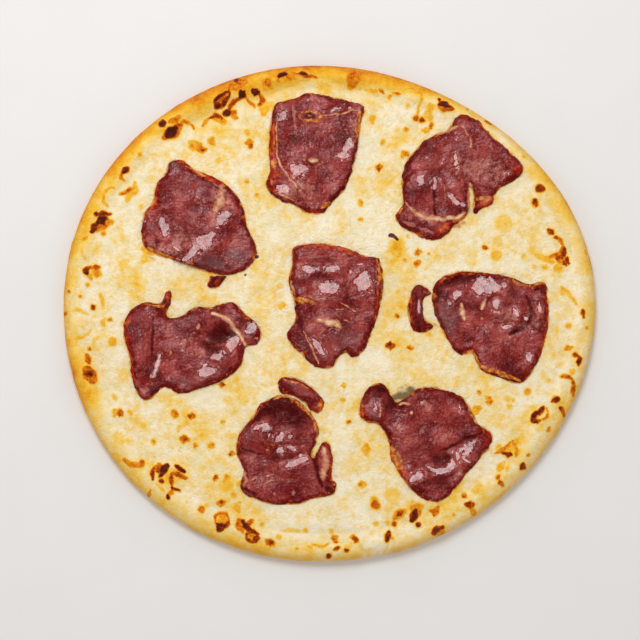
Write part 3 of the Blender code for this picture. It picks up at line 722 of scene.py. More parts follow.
def gold_value(x, y):
    """How golden the dough, or the cheese's thin edge on it, has baked."""
    angle, way_in = polar(x, y)
    tint = read_round(GOLD_ROUND, np.degrees(angle) % 360)
    stop = cheese_stop(angle) + rough(x, y, GOLD_RAGGED)
    fade = 1 - smooth((way_in - GOLD_FULL) / (stop + GOLD_FADE))
    # the outline gets a little more gold: deeper baking, and partly the painted shade of the side that
    # turns away
    edge_gold_and_shade = EDGE_GOLD_AND_SHADE * smooth(1 - way_in / EDGE_GOLD_AND_SHADE_WIDTH)
    return np.clip((tint + edge_gold_and_shade + rough(x, y, *GOLD_UNEVEN)) * fade, 0, 1.2)


print("gold at the far side:", gold_value(0.0, 150.0).round(2))

# %% [markdown]
# ## Yellow and milky cheese
# `wash` makes some parts of the cheese yellower, where fat came out, and others milkier,
# where a curd kept its whey. Each part is round and soft, given by x, y, radius and amount.

# %% Yellow and milky parts
WASHES = (
    (-60,100, 22, 0.45), (-45,75, 18, 0.3), (-115,22, 22, 0.4), (-75,12, 22, 0.5), (-35,45, 20, 0.2),
    (-38,8, 16, 0.4), (-28,-38, 20, 0.45), (-55,-50, 18, 0.5), (-80,-72, 30, 0.45), (-62,-105, 18, 0.4),
    (40,105, 18, 0.55), (38,75, 14, 0.4), (41,38, 9, 2.1), (42,36, 14, 0.6), (72,33, 14, 0.5),
    (102,40, 20, 0.5), (120,55, 16, 0.3), (40,0, 16, 0.8), (45,-26, 18, 1.0), (30,-15, 12, 0.8),
    (75,-42, 12, 0.3), (18,-60, 14, 0.8), (23,-85, 16, 0.9), (96,-60, 18, 0.5), (112,-76, 16, 0.4),
    (62,-120, 20, 0.3), (12,-95, 12, 0.9), (-65,112, 12, 0.9), (-45,127, 16, 0.5), (136,25, 12, 0.8),
    (122,-63, 11, 0.9), (-137,2, 10, 0.5), (-108,-92, 14, 0.6), (-94,-107, 12, 0.6), (-93,-52, 12, 0.5),
    (-25,-5, 10, 0.6), (-36,-21, 12, 0.6), (0,-45, 10, 0.5), (-122,78, 16, -0.8), (-118,55, 12, -0.5),
    (-124,6, 10, -0.7), (-126,-32, 14, -0.3), (28,58, 14, -0.6), (26,44, 12, -0.4), (80,25, 12, -0.4),
    (138,-4, 12, -0.6), (142,-18, 14, -0.6), (-20,-125, 30, -0.3), (20,-132, 20, -0.5),
    (18,-42, 12, -0.5), (62,-36, 14, -0.5), (-15,131, 11, -0.9), (-48,54, 10, -0.6), (50,98, 9, -0.6),
    (107,83, 9, -0.5), (64,25, 8, -0.5), (-70,10, 14, -0.6), (-22,-34, 8, -0.5), (-108,-63, 10, -0.6),
    (-63,-77, 12, -0.7), (107,-77, 8, -0.5))
WASH_UNEVEN = (0.25, 17, 34)


def wash_value(x, y):
    """Yellower where it is positive, milkier where it is negative."""
    total = rough(x, y, WASH_UNEVEN)
    for at_x, at_y, radius, amount in WASHES:
        total = total + amount * (1 - smooth(np.hypot(x - at_x, y - at_y) / radius))
    return total


print("wash in a yellow bay:", wash_value(41.0, 38.0).round(2))

# %% [markdown]
# ## The slices' outlines and folds
# The slices come before the cheese's mesh, because the cheese needs few points where a
# slice hides it. Each slice is a soft closed curve through about twenty points, each x,y,
# and its folds: lines that lift or sink the meat and fade out at a half width. The three
# far slices come first. The one at the north east has the deepest notches.

# %% Far slices
SLICES = {
    "slice_north_west": (
        (-90,91.5, -82,86, -74,82.5, -67,79, -57,71, -51.5,61, -49.5,50, -44,38, -46,28, -55,22, -66,21.2,
         -80,25, -93,30, -109,36.5, -113,46, -111,59, -106,65, -104,76, -98.5,84, -96.5,89.5),
        ((-104,76, -107,60, 0.9, 6), (-84,26, -65,45, 1.5, 9), (-65,45, -61,60, 1.1, 8),
         (-94,64, -95,46, -0.6, 5))),
    "slice_north": (
        (-32,127, -22,129.5, -14,133, -3,132, 12,128.3, 21,125, 19.5,116, 18,104, 15,90, 10,75, 0,63.5,
         -4,58.8, -12,58.8, -20,63.5, -29,66.5, -38,75.5, -35.5,84, -36,98, -34.5,118),
        ((-29,118, -28,92, 1.1, 6), (-26,88, -16,72, 1.1, 6), (-16,118.5, -8,118.5, 1.3, 6),
         (16,108, 9,88, 0.9, 7))),
    "slice_north_east": (
        (77.5,117.5, 82.5,119.5, 91,115, 98,107, 109,97, 117.5,86.5, 113,79.5, 105,75.3, 100.5,70.5,
         98.7,64.5, 92,61.5, 87.8,59, 88.4,66, 85.6,75.5, 85.2,68, 83.5,58.5, 75,50, 70,45, 62,42,
         52,46.5, 41,54.5, 45.5,65, 44.5,74, 46.5,88, 56,101, 65,107.5, 73,110.5),
        ((56,84, 54,66, 1.4, 9), (65,82, 65,60, -0.8, 5), (76,92, 77,66, 1.0, 8),
         (84,110, 88,97, 0.9, 6), (52,53, 70,48, 0.4, 5)))}
print("far slices:", len(SLICES))

# %% [markdown]
# ### The middle row
# The west slice sags into a hollow, the middle one is creased across, and the east one has a
# sunken line that ends in a hook.

# %% Slices of the middle row
SLICES.update({
    "slice_west": (
        (-96,11, -95.3,4, -97.5,-4.5, -91,-5.5, -79,1, -70,0.5, -64,3, -57,3.3, -49,-5, -42,-12,
         -43,-21.5, -50,-23, -53,-34, -63,-43, -78,-48.5, -89,-51.5, -98,-47.5, -109.5,-55, -116,-46,
         -119.5,-28, -123,-11.5, -118.5,-1, -110,3.7, -101,3.3),
        ((-115,-8, -112,-42, 1.5, 8), (-104,-8, -104,-36, -0.5, 6), (-70,-14, -63,-16, -0.9, 8),
         (-68,-3, -53,-16, 1.3, 5), (-53,-16, -48,-14, 0.8, 5), (-76,-44, -57,-31, 1.5, 8))),
    "slice_middle": (
        (-21,37, -14,39, -2,39.3, 13,36, 22,31.5, 29.5,30.5, 32,21, 32.5,13, 30,0, 25.5,-14, 21,-25,
         14.5,-29.3, 10.3,-26.3, 5,-30, 2,-35, -8,-35, -15,-28.5, -22,-22, -25,-16, -20,-8, -20.5,4,
         -24,17, -21.5,29),
        ((-16,18, 12,18, 1.2, 6), (26,20, 27,4, 1.4, 8), (-8,6, 8,6, 0.8, 5),
         (-11,-15, -2,-28, 1.2, 5), (-12,-2, 16,0, -0.5, 5))),
    "slice_east": (
        (62,8, 66,17, 80,22.3, 97,21.3, 110,18.7, 120,14.7, 130,15.3, 131,8, 131.5,-8, 128,-24, 122,-36.5,
         114,-45, 100,-40.7, 91,-37, 85.5,-27, 78.5,-28, 70.5,-17, 64.5,-4),
        ((82,6, 104,6, 1.5, 8), (71,8, 75,-12, 1.0, 7), (120,6, 118,-9, -0.8, 5),
         (118,-9, 106,-15, -0.8, 5), (127,4, 125,-22, 1.2, 6), (96,-18, 112,-26, 0.9, 8)))})
print("slices so far:", len(SLICES))

# %% [markdown]
# ### The near row
# Two slices lie nearest to the viewer. The south one is split at its right side.

# %% Near slices
SLICES.update({
    "slice_south": (
        (-35,-55, -27,-52.5, -18,-56.5, -9,-66, -6.3,-75, -9.8,-90, -2,-80.8, 2,-90, 1.5,-102, 4,-106,
         2,-111.5, -9,-114, -21,-117.5, -38,-116.3, -52,-108.5, -50.5,-98, -54.5,-86, -53,-76, -46,-67,
         -41,-58.5),
        ((-30,-64, -18,-66, -0.7, 8), (-47,-80, -22,-81, 1.5, 7), (-50,-88, -38,-89, -0.7, 5),
         (-27,-98, -12,-95, 1.0, 5), (-2,-86, -1,-100, 1.1, 5), (-42,-108, -16,-108, 0.9, 8))),
    "slice_south_east": (
        (27,-46.5, 33,-46.5, 39.5,-56.5, 45,-55, 54,-48.3, 70,-49.7, 80,-54.5, 84,-61, 88.5,-70,
         96.8,-77.5, 90,-89.5, 80,-101, 66,-115.5, 55,-113.5, 44.5,-103, 36.3,-88.5, 36.5,-83.5,
         30.5,-70.5, 22,-68, 18.3,-64, 21,-52.5),
        ((28,-52, 26,-62, 1.2, 7), (88,-74, 72,-80, 1.1, 6), (64,-91, 69,-89, -1.1, 9),
         (62,-101, 80,-90, 1.3, 6), (48,-100, 58,-101, 0.9, 6), (50,-60, 66,-62, 0.9, 9)))})
print("slices so far:", len(SLICES))

# %% [markdown]
# ### Strips and a scrap
# Two narrow strips curled up as they dried, and one scrap broke off. They are made like
# the slices.

# %% Curled strips and a scrap
SLICES.update({
    "curl_east": (
        (51.5,13, 57,13.3, 61,9.3, 57,7, 56,-1, 58,-7.5, 62,-10, 57.5,-13.8, 51,-13, 48,-4, 48.5,5),
        ((52,9, 52,-9, 1.6, 5),)),
    "curl_south": (
        (-28,-42.3, -20,-42.5, -10,-48.8, -3,-56.5, -6.3,-63, -10.5,-61.5, -14.5,-57, -20.5,-52.8,
         -29,-50.2, -29.8,-45),
        ((-24,-46, -8,-56, 1.7, 5),)),
    "scrap_west": (
        (-71,19.2, -62,19.6, -64,16.5, -66.5,13.5, -70,12.3, -73,14, -72,17),
        ())})
print("pieces of beef:", len(SLICES))

# %% [markdown]
# ## The dough
# The dough is one ring after another, each following the outline at its own distance in. A
# lathe or a torus would make it perfectly round, and this one has lobes.

# %% One ring of the dough
CRUST_STEPS = 1150
CRUST_RAGGED, RAGGED_UNTIL = ((0.42, 9, 41), (0.2, 4, 45)), 9
crust_angles = round_angles(CRUST_STEPS)


def dough_ring(way_in, height=None):
    """One ring round the dough, at a height or on its top."""
    uneven = rough(*on_circle(crust_angles, MEAN_RADIUS).T, *CRUST_RAGGED)
    radius = outline_radius(crust_angles) - way_in + uneven * smooth(1 - way_in / RAGGED_UNTIL)
    x, y = radius * np.cos(crust_angles), radius * np.sin(crust_angles)
    z = dough_top(x, y) if height is None else height + 0 * x
    return np.stack([x, y, z], 1)


print("points in a ring:", len(dough_ring(0.0)))

# %% [markdown]
# ### What the oven did to it, and the shaded side
# Four values go with every point of the dough and of the cheese. The browning fades away
# down the side wall, because the heat came from above. The fourth value, side, says how near
# the outline a point is, and the finish paints the side wall darker with it, as shade.

# %% Looks of everything baked
BROWN_FROM, BROWN_OVER, SHADED_SIDE_WIDTH = 2, 3.5, 6.0


def baked_looks(points):
    """The looks that the dough and the cheese share."""
    x, y, z = points.T
    upper = smooth((z - BROWN_FROM) / BROWN_OVER)
    # side is 1 at the outline and fades inwards; the finish paints the side wall darker with it, as shade
    return {"toast": toast_value(x, y) * upper, "gold": gold_value(x, y),
            "wash": wash_value(x, y), "side": 1 - smooth(polar(x, y)[1] / SHADED_SIDE_WIDTH)}


print("looks:", sorted(baked_looks(dough_ring(0.0)[:2])))

# %% [markdown]
# ### Rings from the foot to the middle
# Six rings round the foot up to the widest line. The next ones lie close together where the
# rim bends most, and spread out towards the cheese.

# %% Build the dough
SIDE_RINGS, SIDE_ROUNDNESS = 6, 0.8
TOP_RINGS = (0.12 * np.arange(5) ** 1.5, np.arange(1.5, 20, 0.75), [24, 30])
rings = []
for share in np.linspace(0, 1, SIDE_RINGS + 1)[:-1]:
    rings.append(dough_ring(RIM_FOOT_IN * (1 - np.sin(share * np.pi / 2)) ** SIDE_ROUNDNESS,
                            RIM_SIDE_HEIGHT * (1 - math.cos(share * math.pi / 2))))
rings += [dough_ring(way_in) for way_in in np.concatenate(TOP_RINGS)]
dough_points = np.concatenate(rings)
dough_faces = [list(range(CRUST_STEPS))[::-1]]
for number in range(len(rings) - 1):
    dough_faces += ring_faces(number * CRUST_STEPS, (number + 1) * CRUST_STEPS, CRUST_STEPS)
dough_faces.append(list(range(len(dough_points) - CRUST_STEPS, len(dough_points))))
crust = make_piece("baked_crust", dough_points, dough_faces, baked_looks(dough_points))
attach(crust, "root")
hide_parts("crust")
print("dough:", len(dough_faces), "faces, top at", dough_points[:, 2].max().round(2), "mm")

# %% [markdown]
# ## Painted kinds
# The paint on the cheese and on the meat comes in kinds, such as fat or oil. A paint stroke
# is a row: half width, strength, then the x,y of its places. Its value is 1 along the line,
# a half at its width and 0 at twice that, so the material can cut it off raggedly.

# %% Paint
PAINT_UNEVEN, PAINT_LEAST = (0.3, 3.3, 75), 0.86


def strokes_of(**kinds):
    """Strokes (kind, half width, strength, places) from rows grouped by kind."""
    return [(kind, half_width, strength, pairs(places))
            for kind, rows in kinds.items() for half_width, strength, *places in rows]


def painted(points, strokes, kinds):
    """The value of each kind of paint at each point."""
    looks = {kind: np.zeros(len(points)) for kind in kinds}
    uneven = pushed(points, 71)
    faded = PAINT_LEAST + rough(*points.T, PAINT_UNEVEN)
    for kind, half_width, strength, line in strokes:
        near = near_stroke(uneven, line, 2 * half_width)
        share = stroke_share(uneven[near], line, half_width)
        value = strength * faded[near] * np.clip(1 - share / 2, 0, 1)
        looks[kind][near] = np.maximum(looks[kind][near], value)
    return looks


one_stroke = strokes_of(oil=((1.0, 1.0, 0, 0),))
print("half way out:", painted(np.array([[1.0, 0]]), one_stroke, ("oil",))["oil"].round(2))

# %% [markdown]
# ## The cheese
# The cheese fills a loop that follows the rim where it stops, a little ragged. Its points
# lie less than a millimetre apart where they show, and three times as far apart under the
# slices, which keeps the mesh light.

# %% The cheese's edge and inner points
CHEESE_FINE, CHEESE_STEPS = 0.86, 1050
CHEESE_RAGGED, RAGGED_FURTHER = (0.7, 7, 42), 0.3
SHOWN_UNDER, LOOK_AROUND, ROUGH_STEP = 3.0, 6, 3.0
loop_angles = round_angles(CHEESE_STEPS)


def cheese_edge(angle):
    """How far in the cheese's real edge is, a little ragged."""
    ragged = rough(angle * MEAN_RADIUS, 0 * angle, CHEESE_RAGGED)
    return cheese_stop(angle) + ragged - RAGGED_FURTHER


def depth_under_slices(places):
    """How deep under a slice each place lies, negative outside."""
    depth = np.full(len(places), -99.0)
    for corners, _ in SLICES.values():
        curve = closed_curve(pairs(corners), ROUGH_STEP)
        near = near_stroke(places, curve, LOOK_AROUND)
        depth[near] = np.maximum(depth[near], edge_distance(places[near], curve))
    return depth


loop_radius = outline_radius(loop_angles) - cheese_edge(loop_angles)
cheese_loop = on_circle(loop_angles, loop_radius)
places, is_coarse = lattice(cheese_loop.min(0), cheese_loop.max(0), CHEESE_FINE)
place_angle, place_in = polar(*places.T)
inside = place_in > cheese_edge(place_angle) + 0.5 * CHEESE_FINE
places, is_coarse = places[inside], is_coarse[inside]
to_slice = depth_under_slices(places)
shown = (to_slice < SHOWN_UNDER) | is_coarse
places, to_slice = places[shown], to_slice[shown]
print("points inside the cheese:", len(places))

# %% [markdown]
# ### Top and skirt
# The top is one filled loop. A skirt of four rings goes down from its edge and in under the
# cheese, against the dough, and closes the piece with few faces.

# %% Points and faces of the cheese
SKIRT = ((0.0, -0.06), (0.0, 0.5), (4.0, 0.6), (12.0, 0.6))
flat, triangles = filled_loop(cheese_loop, places)
cheese_rows = [np.column_stack([flat, cheese_top(*flat.T)])]
for deeper, drop in SKIRT:
    ring = on_circle(loop_angles, loop_radius - deeper)
    cheese_rows.append(np.column_stack([ring, dough_top(*ring.T) - drop]))
cheese_points = np.concatenate(cheese_rows)
cheese_faces = [list(face) for face in triangles]
for number in range(len(SKIRT) - 1):
    upper = len(flat) + number * CHEESE_STEPS
    faces = ring_faces(upper, upper + CHEESE_STEPS, CHEESE_STEPS)
    cheese_faces += [[b, a, d, c] for a, b, c, d in faces]         # seen from outside
cheese_faces.append(list(range(len(cheese_points) - CHEESE_STEPS, len(cheese_points)))[::-1])
print("cheese:", len(cheese_faces), "faces, top at", cheese_points[:, 2].max().round(2), "mm")

# %% [markdown]
# ### Oil on the cheese
# Warm beef gives off oil, so the cheese is oily round every slice. A few pools, one thin
# brown film and some dark flecks are strokes.

# %% Build the cheese
CHEESE_PAINT = strokes_of(
    oil=((3, 0.8, 77,50, 82,53), (1.4, 0.9, 62,-9, 66,-10.5), (1.6, 0.6, -110,33, -100,28),
        (1.6, 0.6, 84,-66, 90,-72), (2, 0.5, 45,-112, 54,-120), (1.5, 0.5, -38,70, -33,68)),
    film=((3, 1, 40,-53.5, 45,-51.5, 50,-49.5),),
    fleck=((1.2, 1, -43.5,32), (0.9, 1, -50.3,20.5), (1.5, 1.3, 36.8,45.2, 41.6,42.4),
        (0.9, 1, 67,-10.5)))
OILY_WIDTH, OILY_UNEVEN = 2.2, (0.5, 8, 43)
TOUCH_OIL, TOUCH_WIDTH, TOUCH_OUT = 0.8, 0.7, 1.2
cheese_looks = baked_looks(cheese_points)
cheese_looks |= painted(cheese_points[:, :2], CHEESE_PAINT, ("oil", "film", "fleck"))
inner = slice(CHEESE_STEPS, len(flat))
near_slice, touching = np.zeros((2, len(cheese_points)))
near_slice[inner] = smooth(1 + to_slice / OILY_WIDTH) * (to_slice < SHOWN_UNDER)
near_slice *= 0.5 + rough(*cheese_points[:, :2].T, OILY_UNEVEN)
touching[inner] = TOUCH_OIL * smooth(to_slice / TOUCH_WIDTH + TOUCH_OUT)
cheese_looks["oil"] = np.maximum(cheese_looks["oil"], np.maximum(near_slice, touching))
cheese = make_piece("melted_cheese", cheese_points, cheese_faces, cheese_looks)
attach(cheese, "root")
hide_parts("cheese")
print("oily points:", int((cheese_looks["oil"] > 0.3).sum()))

# %% [markdown]
# ## A kit for finishes
# A finish is a small graph of nodes. Writing every link by hand hides the idea, so this kit
# adds one node at a time and hands back its output. Colours are given as they look on a
# screen, and `shade` turns them into the linear light that the shader works with.

# %% Nodes
def shade(red, green, blue):
    """A screen colour as linear light."""
    parts = np.array([red, green, blue]) / 255.0
    linear = np.where(parts <= 0.04045, parts / 12.92, ((parts + 0.055) / 1.055) ** 2.4)
    return (*[float(part) for part in linear], 1.0)


class Nodes:
    """A material being made: each call adds one node and gives its output."""

    def __init__(self, name):
        self.material = bpy.data.materials.new(name)
        self.material.use_nodes = True
        self.tree = self.material.node_tree
        self.shader = self.tree.nodes["Principled BSDF"]
        place = self.tree.nodes.new("ShaderNodeTexCoord").outputs["Object"]
        self.place = self.add("ShaderNodeVectorMath", {0: place, "Scale": 1 / MM}, "Vector",
                              operation="SCALE")

    def feed(self, socket, value):
        """Links an output to a socket, or sets the socket to a plain value."""
        if isinstance(value, bpy.types.NodeSocket):
            self.tree.links.new(value, socket)
        else:
            socket.default_value = value

    def add(self, kind, inputs, output=0, **settings):
        node = self.tree.nodes.new(kind)
        for setting, value in settings.items():
            setattr(node, setting, value)
        for socket, value in inputs.items():
            self.feed(node.inputs[socket], value)
        return node.outputs[output]

    def look(self, name):
        """A value painted on the mesh."""
        return self.add("ShaderNodeAttribute", {}, "Fac", attribute_name=name)

    def grain(self, size, detail=3.0, seed=0, harshness=0.55, stretch=(1, 1, 1), turn=0.0):
        """Noise with grains about `size` millimetres wide, from 0 to 1."""
        place = self.add("ShaderNodeMapping", {
            "Vector": self.place, "Location": (seed * 17.3, seed * 5.1, seed * 9.7),
            "Rotation": (0, 0, math.radians(turn)),
            "Scale": tuple(1 / (size * part) for part in stretch)}, "Vector")
        return self.add("ShaderNodeTexNoise", {
            "Vector": place, "Scale": 1.0, "Detail": detail, "Roughness": harshness}, "Fac")


print("white is", shade(255, 255, 255))

# %% [markdown]
# ### Sums and steps
# Most of a finish is arithmetic on grains and painted values. A swing lets a value go up
# and down with some grains, a step makes a mask, and a ridge is a thin line along which a
# grain crosses its middle: that gives threads and creases.

# %% Values
class Values(Nodes):
    """Nodes that work out one value from others."""

    def sum(self, first, second, operation="ADD"):
        return self.add("ShaderNodeMath", {0: first, 1: second}, operation=operation)

    def times(self, first, second):
        return self.sum(first, second, "MULTIPLY")

    def rest(self, value):
        """What is left of 1."""
        return self.sum(1.0, value, "SUBTRACT")

    def swing(self, start, *grains):
        """A value that swings with some grains about their middle."""
        for grain, amount in grains:
            start = self.sum(start, self.times(self.sum(grain, -0.5), amount))
        return start

    def ridge(self, grain):
        """0 where a grain crosses its middle, more on both sides."""
        return self.sum(self.sum(grain, -0.5), 0.0, "ABSOLUTE")

    def most(self, first, second, blend):
        """The greater of two values, with a soft change from one to the other."""
        return self.add("ShaderNodeMath", {0: first, 1: second, 2: blend},
                        operation="SMOOTH_MAX")

    def line(self, value, low, high, to_low=0.0, to_high=1.0, kind="LINEAR"):
        """A straight ramp as the value goes from low to high."""
        return self.add("ShaderNodeMapRange", {
            "Value": value, "From Min": low, "From Max": high,
            "To Min": to_low, "To Max": to_high}, interpolation_type=kind)

    def step(self, *values):
        """A smooth step as the value goes from low to high."""
        return self.line(*values, kind="SMOOTHSTEP")


print("values:", [name for name in vars(Values) if name[0] != "_"])

# %% [markdown]
# ### Colours and relief
# Colours are laid over each other like thin glazes, each with a mask that says how much of
# it shows. Relief finer than the mesh only bends the light, which is enough for fine grain.

# %% Colours
class Finish(Values):
    """Nodes for colour and relief, and the shader that they end in."""

    def mix(self, first, second, share):
        """One colour laid over another."""
        node = self.tree.nodes.new("ShaderNodeMix")
        node.data_type = "RGBA"
        for number, value in ((0, share), (6, first), (7, second)):
            self.feed(node.inputs[number], value)
        return node.outputs[2]

    def ramp(self, value, stops):
        """A row of colours, read by a value from 0 to 1."""
        node = self.tree.nodes.new("ShaderNodeValToRGB")
        self.tree.links.new(value, node.inputs["Fac"])
        while len(node.color_ramp.elements) < len(stops):
            node.color_ramp.elements.new(0.5)
        for element, (place, colour) in zip(node.color_ramp.elements, stops):
            element.position = place
            element.color = shade(*colour)
        return node.outputs["Color"]

    def bump(self, height, depth, normal=None):
        """Relief too fine for the mesh, its full depth in millimetres."""
        inputs = {"Height": height, "Distance": depth * MM, "Strength": 1.0}
        if normal is not None:
            inputs["Normal"] = normal
        return self.add("ShaderNodeBump", inputs, "Normal")

    def finish(self, **sockets):
        """Feeds the shader's sockets."""
        for socket, value in sockets.items():
            self.feed(self.shader.inputs[socket.replace("_", " ")], value)
        return self.material


print("colours:", [name for name in vars(Finish) if name[0] != "_"])

# %% [markdown]
# ## Baked dough and cheese
# One scale of colours serves the dough and the cheese, from milky over golden to black. The
# cheese sits low on it and wanders with its curds, the dough sits higher where `gold` is
# high, and `toast` pushes both up. Taking the greatest of the three keeps every change soft.

# %% Scale and tone of everything baked
BAKED_SCALE = (
    (0.0, (255, 243, 218)), (0.1, (254, 234, 194)), (0.2, (252, 219, 148)),
    (0.3, (251, 207, 99)), (0.4, (248, 189, 56)), (0.5, (240, 161, 32)),
    (0.6, (224, 125, 20)), (0.7, (194, 86, 14)), (0.8, (156, 59, 14)),
    (0.9, (116, 41, 14)), (1.0, (80, 29, 15)))


class Baked(Finish):
    """The finish of the dough and of the cheese, with the grains that both use."""

    def __init__(self, name):
        super().__init__(name)
        self.gold, self.toast = self.look("gold"), self.look("toast")
        self.curds = self.grain(11, 2, 1, 0.5)
        self.crumbs = self.grain(3.4, 2, 2, 0.5)
        self.fine = self.grain(1.1, 2, 7, 0.6)
        self.tone = self.most(self.most(self.creamy(), self.golden(), 0.1), self.browned(), 0.06)

    def creamy(self):
        """Where unbrowned cheese sits on the scale."""
        broad = self.grain(19, 3, 3)
        creamy = self.swing(0.12, (self.crumbs, 0.4), (broad, 0.6), (self.fine, 0.2))
        creamy = self.sum(creamy, self.times(self.step(self.curds, 0.45, 0.75), 0.12))
        return self.sum(creamy, self.times(self.look("wash"), 0.17))

    def golden(self):
        """Where golden dough sits on it."""
        return self.swing(self.sum(self.times(self.gold, 0.5), 0.05),
                          (self.grain(9, 3, 4, 0.6), 0.35), (self.crumbs, 0.2), (self.fine, 0.16))

    def browned(self):
        """Where the browned places sit on it."""
        swung = self.swing(1.02, (self.fine, 0.6), (self.crumbs, 0.8))
        return self.times(self.toast, self.sum(self.times(self.gold, 0.12), swung))


print("colours from milky to black:", len(BAKED_SCALE))

# %% [markdown]
# ### Oil, film and flecks
# On the cheese the oil is amber, and paler where it is thin. The film is a thin brown skin
# and the flecks are crumbs of meat. All are cut off raggedly along the crumbs.

# %% Paint on the cheese
def oily_cheese(made, colour):
    """Lays the cheese's paint over its colour."""
    ragged = made.times(made.sum(made.crumbs, -0.5), 0.6)

    def patch(look, low, high):
        return made.step(made.sum(made.look(look), ragged), low, high)

    oil = patch("oil", 0.2, 0.75)
    fried = made.step(made.grain(5, 3, 16, 0.6), 0.44, 0.6)
    amber = made.mix(shade(206, 126, 48), shade(232, 160, 62), fried)
    amber = made.mix(amber, shade(242, 196, 100), made.step(oil, 1.0, 0.4))
    colour = made.mix(colour, amber, made.times(oil, 0.85))
    film = patch("film", 0.1, 0.7)
    colour = made.mix(colour, shade(104, 76, 56), made.times(film, 0.85))
    return made.mix(colour, shade(88, 38, 26), patch("fleck", 0.4, 0.6))


print("paint on the cheese:", sorted({kind for kind, *_ in CHEESE_PAINT}))

# %% [markdown]
# ### Thin parts, side wall and shine
# Where the cheese is thin, the pale dough shows through. The side wall is painted a duller,
# darker brown, as shade where it turns down and away from the light. Cheese is a little
# see-through, so its palest parts get some light from under the surface, and browned parts
# lose it.

# %% Baked finish
MILKY_TO, GOLDEN_FROM = 0.2, 0.42
LIGHT_INSIDE = (0.0025, 0.0018, 0.001)


def baked_finish(name, roughness, with_paint):
    """Golden dough and melted cheese, browned where toast is high."""
    made = Baked(name)
    colour = made.ramp(made.tone, BAKED_SCALE)
    thin = made.times(made.step(made.grain(13, 3, 5), 0.50, 0.66, 0.0, 0.4),
                      made.step(made.tone, 0.34, 0.2))
    colour = made.mix(colour, shade(234, 220, 168), thin)
    # painted shade: the side wall is darkened towards a dull brown, where it turns away from the light
    colour = made.mix(colour, shade(160, 98, 52), made.times(made.look("side"), 0.36))
    if with_paint:
        colour = oily_cheese(made, colour)
    height = made.swing(made.times(made.toast, 0.4), (made.curds, 0.5), (made.crumbs, 0.4),
                        (made.grain(1.5, 1, 8), 0.7))
    return made.finish(
        Base_Color=colour, Normal=made.bump(height, 1.0),
        Roughness=made.line(made.crumbs, 0.3, 0.7, roughness - 0.08, roughness + 0.1),
        Subsurface_Weight=made.line(made.tone, MILKY_TO, GOLDEN_FROM, 0.18, 0.0),
        Subsurface_Radius=LIGHT_INSIDE, Subsurface_Scale=1.0,
        Specular_IOR_Level=made.line(made.tone, MILKY_TO, GOLDEN_FROM, 0.22, 0.04))


crust.data.materials.append(baked_finish("golden_dough", 0.58, False))
cheese.data.materials.append(baked_finish("browned_cheese", 0.45, True))
print("finishes:", [material.name for material in bpy.data.materials])

# %% [markdown]
# ## What is painted on the meat
# The kinds of paint are fat, pink (pinkish meat, and partly a painted sheen on ridges), ember
# (a thin red edge that light shines through), oil (orange), dark (scorched meat, and painted
# shade in hollows and creases), grey (greyish patches, partly a painted sheen) and wet. Noise
# could scatter them, but a slice is known by where its fat and its shine are, so they are
# placed one by one. The north-west slice has a red and orange far edge, a near edge painted
# grey, partly as sheen, two long wet patches, and painted shade along a fold and in its
# valley.

# %% Strokes on the north-west slice
MEAT_PAINT = {}


def paint_slice(name, **kinds):
    """Keeps the strokes of one slice."""
    MEAT_PAINT[name] = strokes_of(**kinds)
    print(name, "has", len(MEAT_PAINT[name]), "strokes")


paint_slice(
    "slice_north_west",
    fat=((3.4, 0.78, -64.5,74, -65.5,68, -68,61),),
    pink=((7, 0.62, -88,40), (1.3, 0.7, -68.5,60, -71,50)),
    ember=((2.2, 0.95, -90,91, -82,85.5, -74,82, -63,76),
        (2.2, 0.9, -103.5,77, -105.5,68, -105,62, -110.5,60)),
    oil=((0.8, 0.9, -88,88.5, -80,84, -73,81), (1.1, 1, -109,37.3, -101,33, -94,31)),
    dark=((0.8, 0.6, -88,86, -80,81.5, -73,78, -66,73.5), (0.9, 0.8, -62,73, -63,66),
        (3, 0.7, -104,42, -103.5,38.5), (2.2, 0.4, -95,62, -95,45)),
    grey=((4, 0.8, -94,89), (8, 0.9, -56,33, -52,31), (6, 1, -82,28, -66,27), (3, 0.7, -92,31)),
    wet=((2.8, 1, -100,54, -99.5,46), (3.4, 1, -86,29, -79,37, -70,45.5), (2, 0.8, -67,48.5),
        (2.8, 1, -66,52.5, -61,58), (1.3, 0.7, -93,38, -90,35), (1.2, 0.7, -64,32), (1.4, 0.8, -111,53),
        (1.2, 0.8, -92,28.5, -89,29.5)))

# %% [markdown]
# ### The north slice
# A ring of oil stands round a dark hollow at its far end, and a thread of fat runs down its
# left side, beside the strip that is tucked under.

